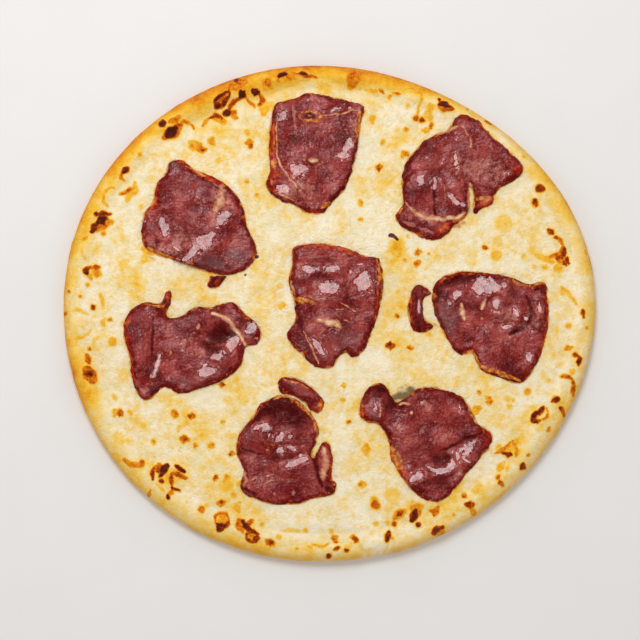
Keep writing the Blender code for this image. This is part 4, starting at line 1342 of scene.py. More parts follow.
# %% Strokes on the north slice
paint_slice(
    "slice_north",
    fat=((0.6, 0.8, -4,118.8, 8.4,120.3, 14.7,122.5, 19.7,121.5), (0.8, 0.7, -4.2,90),
        (1.5, 0.9, -11,91, -7,91), (0.6, 0.85, -31,118, -32,105, -31,95, -29,88, -24,79, -17,72.5),
        (1.1, 0.8, -29,70, -21,66.5)),
    pink=((0.9, 0.8, -15,91.4), (0.8, 0.9, -21.7,126, -21,118, -19.8,110.5), (0.7, 0.7, -16,93, -14,94),
        (0.7, 0.7, -1,111, 2,112.5), (8, 0.4, 14,108, 14,100), (8, 0.7, -24,72, -14,72)),
    ember=((6, 0.3, 0,103), (3.2, 1, -34.3,112, -34.4,98, -33.6,88), (3.8, 1, -33.5,86, -34,77, -32,72),
        (1, 0.7, -13,59.5, -5,59.5), (0.8, 0.7, -30,127, -20,130, -10,132.5, -2,132)),
    oil=((1.1, 0.85, -18.2,118.4, -15,120.9, -11.6,121.6, -8,120.9, -5,118.4, -8,116, -11.6,115.2,
        -15,116, -18.2,118.4), (0.8, 0.8, -12.6,118.5, -10.6,118.5), (0.8, 0.8, -33.6,109, -33.8,97),
        (1.8, 0.9, -34,90, -32,86), (1.2, 0.9, -35,80, -34.5,76), (2, 0.9, 18.8,121, 18,106),
        (1.4, 0.9, -4,62, 0,64.5)),
    dark=((1.9, 1, -13.6,118.4, -9.6,118.4), (1.6, 1, -31.5,84, -30.5,81),
        (1, 0.8, 20,117, 18,104, 15,90, 10,76, 2,66)),
    grey=((6, 0.3, 8,112),),
    wet=((2.5, 1, -29,117, -27,120), (1.3, 0.9, 2,122, 8,124.5), (1.2, 0.8, 13,123.5),
        (2.4, 1, 13,104, 10,97), (2.4, 1, 6.5,94, 11.5,94), (4.4, 1, -19,84.5),
        (2.8, 1, -31,74.5, -25,73)))

# %% [markdown]
# ### The north-east slice
# A band of fat lies along its lower fold, and a rib of fat stands at its right notch.

# %% Strokes on the north-east slice
paint_slice(
    "slice_north_east",
    fat=((1.3, 0.9, 66,107.5, 72,109.5, 78,112), (0.6, 0.7, 78,114, 83,110, 86,103, 86.5,98),
        (0.7, 0.7, 46,66.5, 48.5,62), (1.4, 1, 48.5,62, 53,58.5, 60,55.5, 66,54.5, 75,55, 83,58.5),
        (0.5, 0.7, 69,76, 71,66), (0.5, 0.7, 75,69, 79,64), (1.6, 1, 85.5,60, 85.5,76)),
    pink=((11, 0.58, 78,88, 102,84), (1, 0.95, 46,53, 52,50), (0.9, 0.9, 55,49, 62,46),
        (2.2, 0.6, 77,93, 77,83)),
    ember=((2, 1, 82,117.5, 84,116.5), (0.8, 0.8, 91,114.5, 100,105, 110,95),
        (2.2, 1, 115.5,87, 112.5,82), (2, 1, 90,62.5, 97,64.5, 100,68), (2.6, 0.9, 66,47, 72,50.5)),
    oil=((2, 0.9, 90,67.5, 95,67, 100,69), (2, 0.9, 76,53, 82,56)),
    dark=((1.1, 0.6, 85.5,109, 88.5,103, 89,97), (1, 0.35, 90,113, 99,103.5, 109,93.5),
        (1.4, 0.6, 46,74, 47.5,88, 56,100), (5.5, 0.4, 47,55, 56,50, 64,48), (1.3, 0.9, 64,72, 64.5,57)),
    grey=((8, 0.25, 98,92, 92,80),),
    wet=((3.2, 1, 55,79, 58,78), (2.6, 1, 64,79, 64.5,75), (1.7, 0.9, 73,69, 78,64.5, 82,62.5),
        (1.2, 0.8, 78,104.4), (1.6, 0.6, 77,95, 77,84), (1.3, 0.6, 107,83, 110,83), (1.3, 0.6, 69,90)))

# %% [markdown]
# ### The west slice
# Its hollow is painted nearly black, as the shade of a hollow, and wet facets lie on the
# slope below it.

# %% Strokes on the west slice
paint_slice(
    "slice_west",
    fat=((1.1, 0.7, -106,-42), (1.1, 0.8, -78,-9.5, -78,-12.5), (0.8, 0.7, -95,-25, -95,-28),
        (0.9, 0.6, -79,-28), (1.4, 1, -70,-3, -62,-6, -57,-11, -53,-16, -50.5,-22), (1, 0.7, -43.5,-18)),
    pink=((0.8, 0.8, -101,-28, -103,-36, -104,-40), (2.2, 0.8, -87,-20, -87.5,-25)),
    ember=((1.2, 0.9, -118,-2, -122,-11, -119,-28, -115.5,-45), (1.5, 0.9, -96,11, -96.3,5)),
    oil=((1.2, 0.9, -100,-49, -94,-50.5), (1, 0.9, -110,2.8, -100,1, -97,4), (1.2, 0.8, -66,0),
        (1.1, 0.7, -60,1), (0.8, 0.8, -83,-2, -76,1, -70,0)),
    dark=((0.8, 0.8, -105,-6, -106,-30), (2, 0.6, -112,-38), (1.8, 0.8, -109,-52, -104,-49),
        (1.2, 0.4, -104,0, -98,-3), (7, 1, -69,-17, -61,-16), (6, 0.85, -74,-22, -66,-25),
        (3.8, 0.4, -62,-1, -52,-8, -46,-16), (1.2, 0.6, -92,-5, -84,-2)),
    grey=((4, 0.7, -92,-45, -78,-46), (6, 0.5, -90,-12, -84,-6)),
    wet=((1.4, 1, -101,-28, -103,-36, -104.5,-41), (3.1, 1, -61,-26, -55.5,-18.5),
        (2.6, 1, -69,-31, -65,-29), (2.8, 1, -76,-40, -69,-38), (1.6, 0.8, -77,-38, -73,-34),
        (2.6, 1, -48,-14, -45,-11)))

# %% [markdown]
# ### The middle slice
# It is the wettest: two big patches mirror the lamp, with a row of small ones above them.

# %% Strokes on the middle slice
paint_slice(
    "slice_middle",
    fat=((0.6, 0.9, 7,3, 12,0.5, 16,-2), (0.4, 0.8, 4,-1, 9,-1), (0.4, 0.8, 9,-7, 13,-9),
        (2, 1, -6,-7.6, -1,-8.3, 4,-9.4, 7,-12), (0.6, 0.8, -15,-14, -12,-21, -9,-27, -6,-34),
        (1, 0.7, -23,16, -20,8), (0.4, 0.6, -15,7, -5,5.5, 5,7)),
    pink=((5, 0.42, -18,-22, -12,-29),),
    ember=((2.4, 0.95, -21,37.5, -14,38.3, -2,38.5, 13,35.5, 22,31), (1.4, 0.7, -23,-13),
        (1.1, 0.9, -22,35, -22.5,28, -23.5,18), (1.1, 0.9, 29.5,12, 29,3, 28,-5)),
    oil=((1.6, 0.85, -22,7, -14,4, -8,3), (0.9, 1, 3,-9.5, 8,-13), (1.1, 0.9, 29,30, 31,22, 30,14),
        (1, 0.7, 32,22, 32,13)),
    dark=((2.4, 0.3, -21,35), (3.8, 0.4, -20,-17, -12,-27, -4,-33),
        (2.6, 0.75, -18,-1, -17.5,-8, -15.5,-14), (0.9, 0.7, 27,27, 28.5,15, 27,0),
        (1.1, 0.9, 10.3,-25, 10.3,-28), (0.6, 0.5, -12,5, 0,8, 10,6)),
    grey=((8, 0.7, 15,-18, 5,-20),),
    wet=((2.7, 1, -15,23.8, -9,23.6), (2, 1, -5,24), (2.3, 1, 0,24, 4,24), (1.4, 0.9, 13,22.5),
        (1.3, 0.8, 14,27, 20,27), (4, 1, -4,12.5, 4,12), (5.4, 1, 20.5,19, 20.5,12.5),
        (1.8, 1, -9.5,-19, -6.5,-24, -3.5,-28)))

# %% [markdown]
# ### The east slice
# Its far edge is scorched dark, its near edge is oily, and lumps of fat lie in its middle.

# %% Strokes on the east slice
paint_slice(
    "slice_east",
    fat=((1.7, 0.95, 79.5,2, 81,-6), (1.2, 0.9, 93.5,5, 92,-0.5), (0.9, 0.7, 92,-6)),
    # pink: its right half is painted paler on the ridges, as sheen
    pink=((7, 0.45, 104,0, 112,-6), (6, 0.45, 123,6, 124,-10)),
    ember=((0.8, 0.7, 64,10, 68,17, 80,21.5, 95,20.7), (6, 0.35, 91,-1),
        (0.9, 0.7, 130.5,8, 131,-8, 128,-23, 122,-36)),
    oil=((1.2, 1, 86,-27, 90,-34, 96,-37.5, 107,-41.5, 114,-44.3), (1.1, 0.9, 80,-27.5, 85,-26.5),
        (1.1, 0.9, 111,18, 115,14, 119,14.3), (1.2, 0.9, 122,13, 126,15, 129.5,14.5)),
    dark=((3.4, 1, 63,7, 66,14, 76,18.5, 90,19.6), (1.4, 0.9, 119,8, 121,0, 120,-8, 114,-13, 108,-16),
        (3.2, 0.6, 114,-38, 117,-41), (1.8, 0.9, 77,-26, 79.5,-26.5), (1, 0.9, 124,11.5, 128,12)),
    grey=((7, 0.9, 70,2, 72,-14),),
    wet=((4.4, 1, 86,14.5, 93,13, 101,12.5), (2.3, 1, 97,18, 100,15), (2, 1, 105,14),
        (2.2, 1, 78,10, 75.5,6), (1.4, 0.8, 79,14), (1.6, 0.8, 73,3), (1.8, 0.9, 98,3, 102,-2),
        (1.7, 0.9, 101,5, 101,2), (1.8, 0.9, 104,-12, 109,-11), (1.8, 0.9, 113,-5, 111,0),
        (1.3, 0.8, 118,-6), (1.4, 0.8, 126,4, 126,-2), (1.2, 0.7, 122,-14),
        (1.9, 1, 119.5,-31, 120,-27.5)))

# %% [markdown]
# ### The south slice
# A line of oil follows its upper right edge. Its right side is split, with a pale rib of
# fat beside the slit. Its far part is painted dark, as the shade of a hollow.

# %% Strokes on the south slice
paint_slice(
    "slice_south",
    fat=((0.9, 0.6, -37,-85), (1.1, 0.7, -43.5,-102), (0.9, 0.6, -47,-108),
        (0.5, 0.8, -40,-106, -33,-104), (0.5, 0.7, -37,-101, -32,-100),
        (2.6, 0.72, -3,-85, -2.6,-94, -3.2,-102), (1.7, 0.56, -51,-97, -49.5,-103, -50.5,-107)),
    pink=((0.9, 0.9, -21,-110, -21,-112.5), (0.9, 0.9, -32,-111, -32,-113)),
    ember=((6, 0.4, -36,-84), (1, 1, -2,-81, 1.5,-90, 1,-102, 3.5,-106),
        (0.8, 0.7, -54,-86, -52.5,-76, -46,-67.5, -41,-59.5)),
    oil=((1.1, 1, -33,-54.5, -28,-52.8, -23,-54, -17,-58, -12,-63, -8,-68, -6.8,-75, -7.3,-80),
        (1.4, 1, 3,-106)),
    dark=((6.5, 0.95, -36,-62, -26,-60, -17,-68), (2.8, 0.9, -44,-68, -38,-60),
        (6, 0.34, -50,-78, -50,-102), (6, 0.4, -10,-109, 0,-104), (5, 0.6, -22,-76),
        (0.8, 0.7, -52,-85, -39,-88), (2, 0.9, -2,-108, 2,-110.5),
        (1.5, 0.9, -8.5,-90, -6.5,-99, -4.5,-107), (1.2, 0.8, -51.5,-107, -44,-112)),
    grey=((2.5, 0.7, -47,-79),),
    wet=((2, 1, -44,-73, -41,-71), (2.4, 1, -38,-72), (1.8, 1, -34.5,-77),
        (2.8, 1, -29.5,-80.5, -28,-75.5), (1.9, 0.9, -23,-77), (2.3, 1, -28,-86),
        (1.4, 1, -24,-84, -20,-86), (2.1, 1, -26,-95, -20,-93.5, -13,-90.5), (1.4, 0.8, -44.5,-103),
        (1.1, 0.8, -17,-89)))

# %% [markdown]
# ### The south-east slice
# A wet arc runs half round the hollow in its near part, which is painted dark as shade, and
# its left edge is fried.

# %% Strokes on the south-east slice
paint_slice(
    "slice_south_east",
    fat=((0.6, 0.8, 31,-57, 30,-66), (1, 1, 42.5,-58.5, 44.5,-57.5, 47,-57.5), (1, 1, 49,-63),
        (1.2, 0.7, 37,-84, 41,-88, 43,-92)),
    pink=((2.3, 0.8, 57,-57, 60,-62), (1.1, 0.7, 67,-78, 70,-75), (0.9, 0.7, 43,-73, 46,-72),
        (0.9, 0.6, 37,-77, 42,-80)),
    ember=((1.3, 0.9, 19,-61.5, 20,-66.5), (3.2, 1, 37,-86, 40.5,-94, 45,-102.5),
        (1.2, 0.9, 91,-73, 96,-77.5, 93,-82)),
    oil=((1, 0.9, 21,-68, 30,-70), (1.9, 0.85, 84.5,-62, 88,-70),
        (2.6, 0.9, 37.5,-84, 40.5,-90, 42.5,-96), (0.7, 0.9, 46,-105, 50,-111, 54,-115)),
    dark=((2.7, 0.95, 24.5,-50, 31,-48.5, 34,-50), (7, 0.62, 30,-54, 46,-60), (4, 0.45, 38,-66, 36,-72),
        (1.1, 0.75, 90,-76.5, 82,-78, 75,-82, 66,-86), (4.6, 0.7, 64,-91, 71,-90),
        (0.9, 1, 48,-108, 51,-113, 54.5,-116)),
    grey=((4.5, 0.6, 27.5,-56, 26.5,-64),),
    wet=((1.3, 0.7, 55,-57), (1.2, 0.7, 78,-58, 79,-63),
        (1.8, 1, 59,-96, 64,-98.5, 70,-97.5, 74,-94, 75.5,-89, 73.5,-86), (2.9, 0.85, 80,-89, 84,-83),
        (2.6, 0.7, 27.5,-58, 28.5,-62), (1.1, 0.9, 77,-87, 80,-84, 84,-81.5, 88,-79.5),
        (1.1, 0.9, 80,-91, 83,-93), (2.7, 1, 49,-103, 54,-100.5), (0.7, 0.8, 52,-99, 58,-98.5)))

# %% [markdown]
# ### The strips and the scrap
# They are thin, so they dried dark with red edges.

# %% Strokes on the strips and the scrap
paint_slice(
    "curl_east",
    ember=((0.8, 0.8, 49,5, 48.8,-4, 51.5,-12), (0.8, 0.7, 58,12.5, 60,9.5)),
    dark=((2.8, 0.55, 53,12, 51,0, 54,-12),),
    grey=((1.1, 0.5, 54,-4, 54,5),),
    wet=((0.9, 0.9, 54,-3, 54,5),))
paint_slice(
    "curl_south",
    ember=((1.2, 0.9, -4,-55.5, -6,-61, -9.5,-62.5),),
    oil=((0.7, 0.9, -27,-42.8, -20,-44.5, -12,-48.8), (0.9, 0.9, -4.5,-58, -8,-60.5)),
    dark=((3.2, 0.5, -26,-46, -16,-50, -8,-57),),
    grey=((2, 0.7, -22,-48, -13,-53),))
paint_slice(
    "scrap_west",
    ember=((2.4, 0.5, -68,14, -66,18),),
    dark=((2.2, 0.8, -70,16, -64,17.5),))
print("strokes on all the meat:", sum(len(strokes) for strokes in MEAT_PAINT.values()))

# %% [markdown]
# ## Steps where the meat lies over itself
# Some slices are folded, so a part of them lies on a tucked strip of the same slice. Such
# a part is an area that stands a little higher, with a steep edge. Two sheets would do as
# well, but could cut into each other.

# %% Upper parts of the folded slices
UPPER_PARTS = {
    "slice_north": ((0.7, ((-30,140), (-31,118), (-32,105), (-31,95), (-29,88), (-24,79), (-17,72.5),
        (-8,68), (2,55), (40,60), (40,140))),),
    "slice_north_east": ((0.9, ((35,74), (44,69), (48.5,62), (53,58.5), (60,55.5), (66,54.5), (75,55),
        (83,59), (86,66), (86,77), (101,72), (130,90), (80,130), (35,115))),),
    "slice_west": ((0.7, ((-76,8), (-70,-2.5), (-62,-5.5), (-57,-10), (-52.5,-15.5), (-49.5,-22),
        (-45,-40), (-60,-60), (-130,-60), (-130,15), (-95,15), (-90,4))),),
    "slice_middle": ((0.7, ((-30,-2), (-17,-6), (-14,-14), (-9,-27), (-6,-40), (30,-40), (45,10), (45,45),
        (-35,45))), (0.5, ((-30,3), (-18,2), (-8,1.5), (7,3), (16,0), (29,3), (45,10), (45,45),
        (-35,45))))}
print("folded slices:", sorted(UPPER_PARTS))

# %% [markdown]
# ## Folds and wet facets
# A fold is a soft ridge or hollow along a line. A wet facet is the small flat that a film of
# oil makes: the meat under a wet stroke leans just enough to mirror the lamp to the viewer.
# A painted white spot would look the same, but it would not move with the light.

# %% Folds and facets
FACET_REACH = 2.5


def fold_height(points, folds):
    """Height that a slice's folds add."""
    total = np.zeros(len(points))
    for x0, y0, x1, y1, rise, half_width in folds:
        away, _ = stroke_distance(points, ((x0, y0), (x1, y1)))
        total += rise * smooth(1 - away / half_width)
    return total


def with_wet_facets(points, height, strokes):
    """The heights with small flats that mirror the lamp, where oil lies on the meat."""
    for kind, half_width, _, line in strokes:
        if kind == "wet":
            away = stroke_distance(points, line)[0] / half_width
            centre = np.mean(line, axis=0)
            level = height[away < 1].mean()
            flat = level + (points - centre) @ mirror_slope(centre)
            height = height + smooth(FACET_REACH - away) * (flat - height)
    return height


print("on a fold:", fold_height(np.zeros((1, 2)), ((-9, 0, 9, 0, 1.5, 5),)))

# %% [markdown]
# ## Laying a slice on the cheese
# A slice is a thin sheet: a stiff underside that bridges the dips of the cheese, and a top
# with its folds, steps, fine wrinkles and facets. Cloth simulation could drape it, but the
# folds of the real slices are known, so they are shaped directly.

# %% Outline and rest of a slice
SLICE_FINE, SLICE_REACH = 0.55, 2.4
SLICE_RAGGED = ((0.58, 3.4, 51), (0.36, 1.6, 53))
SINK = 0.3                 # the warm cheese gives way a little


def ragged_loop(corners):
    """A slice's outline with the small frills of torn meat."""
    loop = closed_curve(pairs(corners), SLICE_FINE)
    for axis in (0, 1):
        for amount, size, seed in SLICE_RAGGED:
            loop[:, axis] += amount * hills(*loop.T, size, seed + axis)
    return loop


def slice_rest(x, y):
    """Height at which a slice rests, bridging the dips round each point."""
    height = plain_cheese(x, y)
    for angle in np.arange(6) * np.pi / 3:
        height = np.maximum(height, plain_cheese(
            x + SLICE_REACH * math.cos(angle), y + SLICE_REACH * math.sin(angle)))
    return height + GAP - SINK


print("a slice in the middle rests at", slice_rest(0.0, 0.0).round(2), "mm")

# %% [markdown]
# ### Thickness
# The meat thins out to its edge, which curls up here and there as it dries. The dark places
# sink a little, scorched meat and painted shade in hollows alike, and fat stands a little
# higher because it does not dry.

# %% Thickness of a slice
SLICE_THICKNESS, SLICE_EDGE, SLICE_ROLL, SLICE_LEAST = 1.5, 0.6, 1.6, 0.45
SLICE_WAVES = ((31, 70, 0.28, 1.0), (23, 150, 0.20, 3.0), (19, 15, 0.14, 5.2))
SLICE_UNEVEN, STEP_WIDTH = (0.10, 4.2, 61), 1.1
DARK_SHRINKS, FAT_STANDS, FAT_SOON = 0.28, 0.12, 1.6
CURL_HEIGHT, CURL_IN, CURL_WIDTH, CURL_UNEVEN = 0.28, 0.9, 0.7, (1, 6, 63)


def slice_thickness(name, flat, depth, folds, looks):
    """How thick a slice seems at each point, with its folds and steps."""
    relief = waves(*flat.T, SLICE_WAVES) + fold_height(flat, folds)
    for rise, area in UPPER_PARTS.get(name, ()):
        relief += rise * smooth(edge_distance(flat, np.array(area, float)) / STEP_WIDTH)
    relief += rough(*flat.T, SLICE_UNEVEN)
    relief -= DARK_SHRINKS * smooth(looks["dark"]) - FAT_STANDS * smooth(looks["fat"] * FAT_SOON)
    curl = CURL_HEIGHT * np.exp(-((depth - CURL_IN) / CURL_WIDTH) ** 2)
    curl *= 0.5 + rough(*flat.T, CURL_UNEVEN)
    grown = smooth(depth / SLICE_ROLL)
    thickness = SLICE_EDGE + (SLICE_THICKNESS - SLICE_EDGE) * grown + grown * relief + curl
    return np.maximum(thickness, SLICE_LEAST)


print("thickness before folds:", SLICE_EDGE, "to", SLICE_THICKNESS, "mm")

# %% [markdown]
# ### The upper side
# The facets are pressed into the top, then the finest wrinkles come on it. High folds are
# pressed flatter, so that the pizza keeps its measured height.

# %% Upper side of a slice
HIGHEST, PRESSED = 12.2, 0.5
WRINKLES, LEFT_UNDER_FACETS = (0.05, 2.1, 62), 0.3


def slice_top(name, flat, depth, rest, thickness):
    """Height of a slice's upper side."""
    grown = smooth(depth / SLICE_ROLL)
    height = with_wet_facets(flat, rest + thickness, MEAT_PAINT[name])
    height = height + grown * rough(*flat.T, WRINKLES)
    height = np.maximum(height, rest + LEFT_UNDER_FACETS)
    above = np.maximum(height - HIGHEST, 0)
    return np.minimum(height, HIGHEST) + PRESSED * np.tanh(above / PRESSED)


print("folds are pressed flatter above", HIGHEST, "mm")

# %% [markdown]
# ### One slice
# The same triangles make the underside and, turned over, the top. A band of squares closes
# the slice at its edge.

# %% Lay one slice
MEAT_LOOKS = ("fat", "pink", "ember", "oil", "dark", "grey", "wet")
EDGE_WIDTH = 5


def lay_slice(name, corners, folds):
    """A slice of beef, its underside on the cheese."""
    loop = ragged_loop(corners)
    inner, _ = lattice(loop.min(0), loop.max(0), SLICE_FINE)
    inner = inner[edge_distance(inner, loop) > 0.55 * SLICE_FINE]
    flat, triangles = filled_loop(loop, inner)
    depth = edge_distance(flat, loop)
    depth[:len(loop)] = 0
    looks = painted(flat, MEAT_PAINT[name], MEAT_LOOKS)
    rest = slice_rest(*flat.T)
    thickness = slice_thickness(name, flat, depth, folds, looks)
    top = slice_top(name, flat, depth, rest, thickness)
    triangles = np.array(triangles)
    faces = (triangles + len(flat)).tolist() + triangles[:, ::-1].tolist()
    faces += ring_faces(0, len(flat), len(loop))
    looks["edge"] = 1 - depth / EDGE_WIDTH
    looks = {look: np.tile(value, 2) for look, value in looks.items()}
    points = np.column_stack([np.tile(flat, (2, 1)), np.concatenate([rest, top])])
    return make_piece("beef_" + name, points, faces, looks)


print("looks of the meat:", MEAT_LOOKS)

# %% [markdown]
# ### All slices
# Each slice rides with the pizza, stands for its own measured solid and can be given
# another finish.

# %% Build the slices
meat = []
for name, (corners, folds) in SLICES.items():
    piece = lay_slice(name, corners, folds)
    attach(piece, "root")
    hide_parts(name)
    meat.append(piece)
    top = max(vertex.co.z for vertex in piece.data.vertices) / MM
    print(f"{name}: {len(piece.data.polygons)} faces, top at {top:.2f} mm")

# %% [markdown]
# ## Cured beef
# Pastirma is lean, dark red meat with a fine grain, thin threads of fat, and a film of oil
# that mirrors the light. First come the masks that several parts of its finish share: the
# ragged cut, the dark places (scorched meat, and painted shade in hollows and creases), the
# rim, a crisp line at the edge and the long wrinkles, whose creases are painted a little
# darker as shade.

# %% Masks on the beef
class Beef(Finish):
    """The finish of the beef, with the masks that its parts share."""

    def __init__(self, name):
        super().__init__(name)
        self.fine = self.grain(0.8, 2, 11, 0.6)
        self.ragged = self.swing(0.0, (self.fine, 0.6), (self.grain(2.4, 3, 19, 0.6), 1.4))
        self.soft_ragged = self.times(self.ragged, 0.5)
        self.wet, self.edge = self.look("wet"), self.look("edge")
        # dark: scorched meat, and painted shade in hollows and creases
        self.dark = self.step(
            self.sum(self.look("dark"), self.times(self.ragged, 0.4)), 0.1, 0.9)
        self.rim = self.step(self.swing(self.edge, (self.grain(8, 2, 29), 2.2)), 0.3, 0.8)
        crisp = self.swing(self.edge, (self.grain(2.0, 3, 18, 0.6), 1.3),
                           (self.grain(8, 1, 40), 1.6))
        self.crisp = self.step(crisp, 0.86, 0.98)
        # wrinkle: long creases; besides the relief, the tone paints them a little darker, as shade
        self.wrinkle = self.step(self.ridge(self.grain(6, 1, 30, 0.6)), 0.05, 0.0)

    def patch(self, look, low, high, ragged=None):
        """Where one kind of paint lies, cut off raggedly."""
        return self.step(self.sum(self.look(look), ragged or self.ragged), low, high)


print("masks: ragged, dark, rim, crisp, wrinkle")

# %% [markdown]
# ### Tone
# One scale runs from the darkest to the palest red. Fibres lie one way in some places and
# across in others, so two stretched grains take turns. With finer and broader grains they
# decide where on the scale each place is.

# %% Tone of the beef
BEEF_SCALE = (
    (0.08, (76, 2, 2)), (0.28, (106, 10, 8)), (0.44, (131, 27, 22)),
    (0.58, (155, 46, 40)), (0.76, (181, 75, 65)), (0.96, (210, 134, 118)))


def fibres(made):
    """Fine fibres that run two ways in turn."""
    either = made.step(made.grain(16, 2, 21), 0.44, 0.56)
    across = made.grain(1.7, 4, 12, 0.7, (0.5, 2.2, 1), 25)
    along = made.grain(1.7, 4, 22, 0.7, (2.2, 0.5, 1), 15)
    return made.sum(made.times(across, either), made.times(along, made.rest(either)))


def beef_tone(made):
    """Where each place is on the scale of reds."""
    tone = made.swing(0.49, (made.fine, 0.55), (fibres(made), 0.8),
                      (made.grain(14, 2, 13), 1.35), (made.grain(3.4, 3, 23), 0.4))
    # painted shade: the wrinkles' creases and the shaded hollows among the dark places sit lower on the
    # scale; the rim is darker meat
    for mask, amount in ((made.wrinkle, -0.05), (made.dark, -0.4), (made.rim, -0.13)):
        tone = made.sum(tone, made.times(mask, amount))
    return tone


print("reds from dark to pale:", len(BEEF_SCALE))

# %% [markdown]
# ### Reds, specks and threads
# Over the scale lie broad purple and bright red parts, greyish patches that are partly a
# painted sheen, a darker rim, pale specks that are partly painted glints of the lamp, dark
# specks of a millimetre, and thin threads of fat. Each is a colour and a mask.

# %% Colour of the lean meat
PURPLE, BRIGHT, GREY_AND_SHEEN, RIM_RED = (shade(126, 40, 42), shade(152, 34, 26),
                                  shade(112, 68, 67), shade(102, 10, 9))
PALE_SPECK_AND_GLINT, DARK_SPECK, THREAD = shade(208, 144, 136), shade(80, 12, 12), shade(206, 132, 104)


def threads(made):
    """Thin winding threads of fat, in some places only."""
    line = made.step(made.ridge(made.grain(7, 4, 14, 0.55)), 0.02, 0.0)
    return made.times(line, made.step(made.grain(10, 2, 15), 0.56, 0.66))


def lean_colour(made, tone):
    """The meat before its paint."""
    layers = (
        (PURPLE, made.step(made.grain(15, 2, 24), 0.46, 0.64, 0.0, 0.35)),
        (BRIGHT, made.step(made.grain(13, 2, 25), 0.50, 0.68, 0.0, 0.4)),
        # greyish patches, partly a painted sheen of soft reflected light
        (GREY_AND_SHEEN, made.times(made.patch("grey", 0.1, 0.8), 0.7)),
        (RIM_RED, made.times(made.rim, 0.62)),
        # pale specks, partly painted glints of the lamp on tiny facets
        (PALE_SPECK_AND_GLINT, made.step(made.grain(1.2, 0, 38), 0.6, 0.8, 0.0, 0.13)),
        (DARK_SPECK, made.step(made.grain(1.3, 0, 39), 0.4, 0.22, 0.0, 0.25)),
        (THREAD, made.times(threads(made), 0.4)))
    colour = made.ramp(tone, BEEF_SCALE)
    for over, share in layers:
        colour = made.mix(colour, over, share)
    return colour


print("palest speck:", np.round(PALE_SPECK_AND_GLINT[:3], 2))

# %% [markdown]
# ### Paint on the meat
# The strokes come over the lean meat: pinkish fat and a painted sheen on ridges, scorched
# places and painted shade in hollows and creases, the crisp edge, red embers, orange oil,
# white fat, and last a pale veil over a wet patch, a painted highlight. The crisp edge has
# its own short scale, from dark red to orange, as where thin meat fries.

# %% Painted colour of the beef
CRISP_SCALE = ((0.44, (104, 22, 14)), (0.55, (150, 44, 18)), (0.63, (200, 96, 30)),
               (0.72, (230, 156, 66)))
# painted light in these colours: the pink also paints sheen on ridges, the scorched red also paints shade
# in hollows and creases, and the veil is a painted highlight
PINK_AND_SHEEN, SCORCHED_AND_SHADE, PAINTED_WET_HIGHLIGHT = shade(196, 116, 100), shade(70, 8, 8), shade(176, 84, 76)


def painted_colour(made, colour, film):
    """The meat with its strokes."""
    along = made.grain(5, 3, 16, 0.6)
    ember = made.mix(shade(160, 28, 12), shade(214, 92, 26), made.step(along, 0.46, 0.62))
    amber = made.mix(shade(184, 84, 22), shade(234, 156, 62),
                     made.step(made.grain(2.1, 3, 26), 0.42, 0.62))
    fat = made.mix(shade(206, 132, 92), shade(244, 208, 164),
                   made.patch("fat", 0.5, 0.9, made.soft_ragged))
    for over, share, most in (
            # pink is partly a painted sheen on ridges; dark is scorched meat and painted shade in hollows
            # and creases
            (PINK_AND_SHEEN, made.patch("pink", 0.16, 0.68), 0.74), (SCORCHED_AND_SHADE, made.dark, 0.8),
            (made.ramp(along, CRISP_SCALE), made.crisp, 0.92),
            (ember, made.patch("ember", 0.24, 0.66), 0.88),
            (amber, made.patch("oil", 0.3, 0.66, made.soft_ragged), 0.9),
            # the veil is a painted highlight: a wet patch is painted paler where its oil mirrors the lamp
            (fat, made.patch("fat", 0.24, 0.54, made.soft_ragged), 0.9), (PAINTED_WET_HIGHLIGHT, film, 0.25)):
        colour = made.mix(colour, over, made.times(share, most))
    return colour


print("colours of the crisp edge:", len(CRISP_SCALE))

# %% [markdown]
# ### Relief and the film of oil
# The relief is a grain of low bumps with slower ones under it, and it dies away where oil
# fills it. The film lies where the meat is wet, broken by fine creases. Elsewhere the meat
# is only moist.

# %% Relief and wetness of the beef
def beef_height(made, whole):
    """Relief finer than the mesh, left whole where no oil fills it."""
    height = made.swing(0.0, (made.grain(1.5, 0, 33), 0.7), (made.grain(3.2, 1, 34), 0.9))
    height = made.times(height, made.step(made.grain(11, 2, 36), 0.4, 0.6, 0.6, 1.1))
    height = made.swing(height, (made.grain(7.5, 1, 35), 2.4), (made.grain(15, 1, 37), 2.6))
    return made.times(made.sum(height, made.times(made.wrinkle, -0.12)), whole)


def oil_film(made):
    """Where a film of oil lies."""
    creases = made.ridge(made.grain(2.6, 2, 28))
    return made.times(made.step(made.sum(made.wet, made.ragged), 0.29, 0.36),
                      made.step(creases, 0.004, 0.018, 0.3, 1.0))


def dry_share(made):
    """High where the meat is neither wet nor scorched."""
    dull = made.sum(made.sum(made.dark, made.rim, "MAXIMUM"), made.crisp, "MAXIMUM")
    return made.times(made.rest(made.times(dull, 0.8)), made.step(made.wet, 0.4, 0.1))


print("helpers: beef_height, oil_film, dry_share")

# %% [markdown]
# ### The whole finish
# The coat is the film of oil: smooth in the middle of a wet patch and crinkled at its edge.
# A plain low roughness would make all the meat shine alike.

# %% Beef finish
OIL_BENDS, OIL_ROUGHNESS = 1.61, 0.05


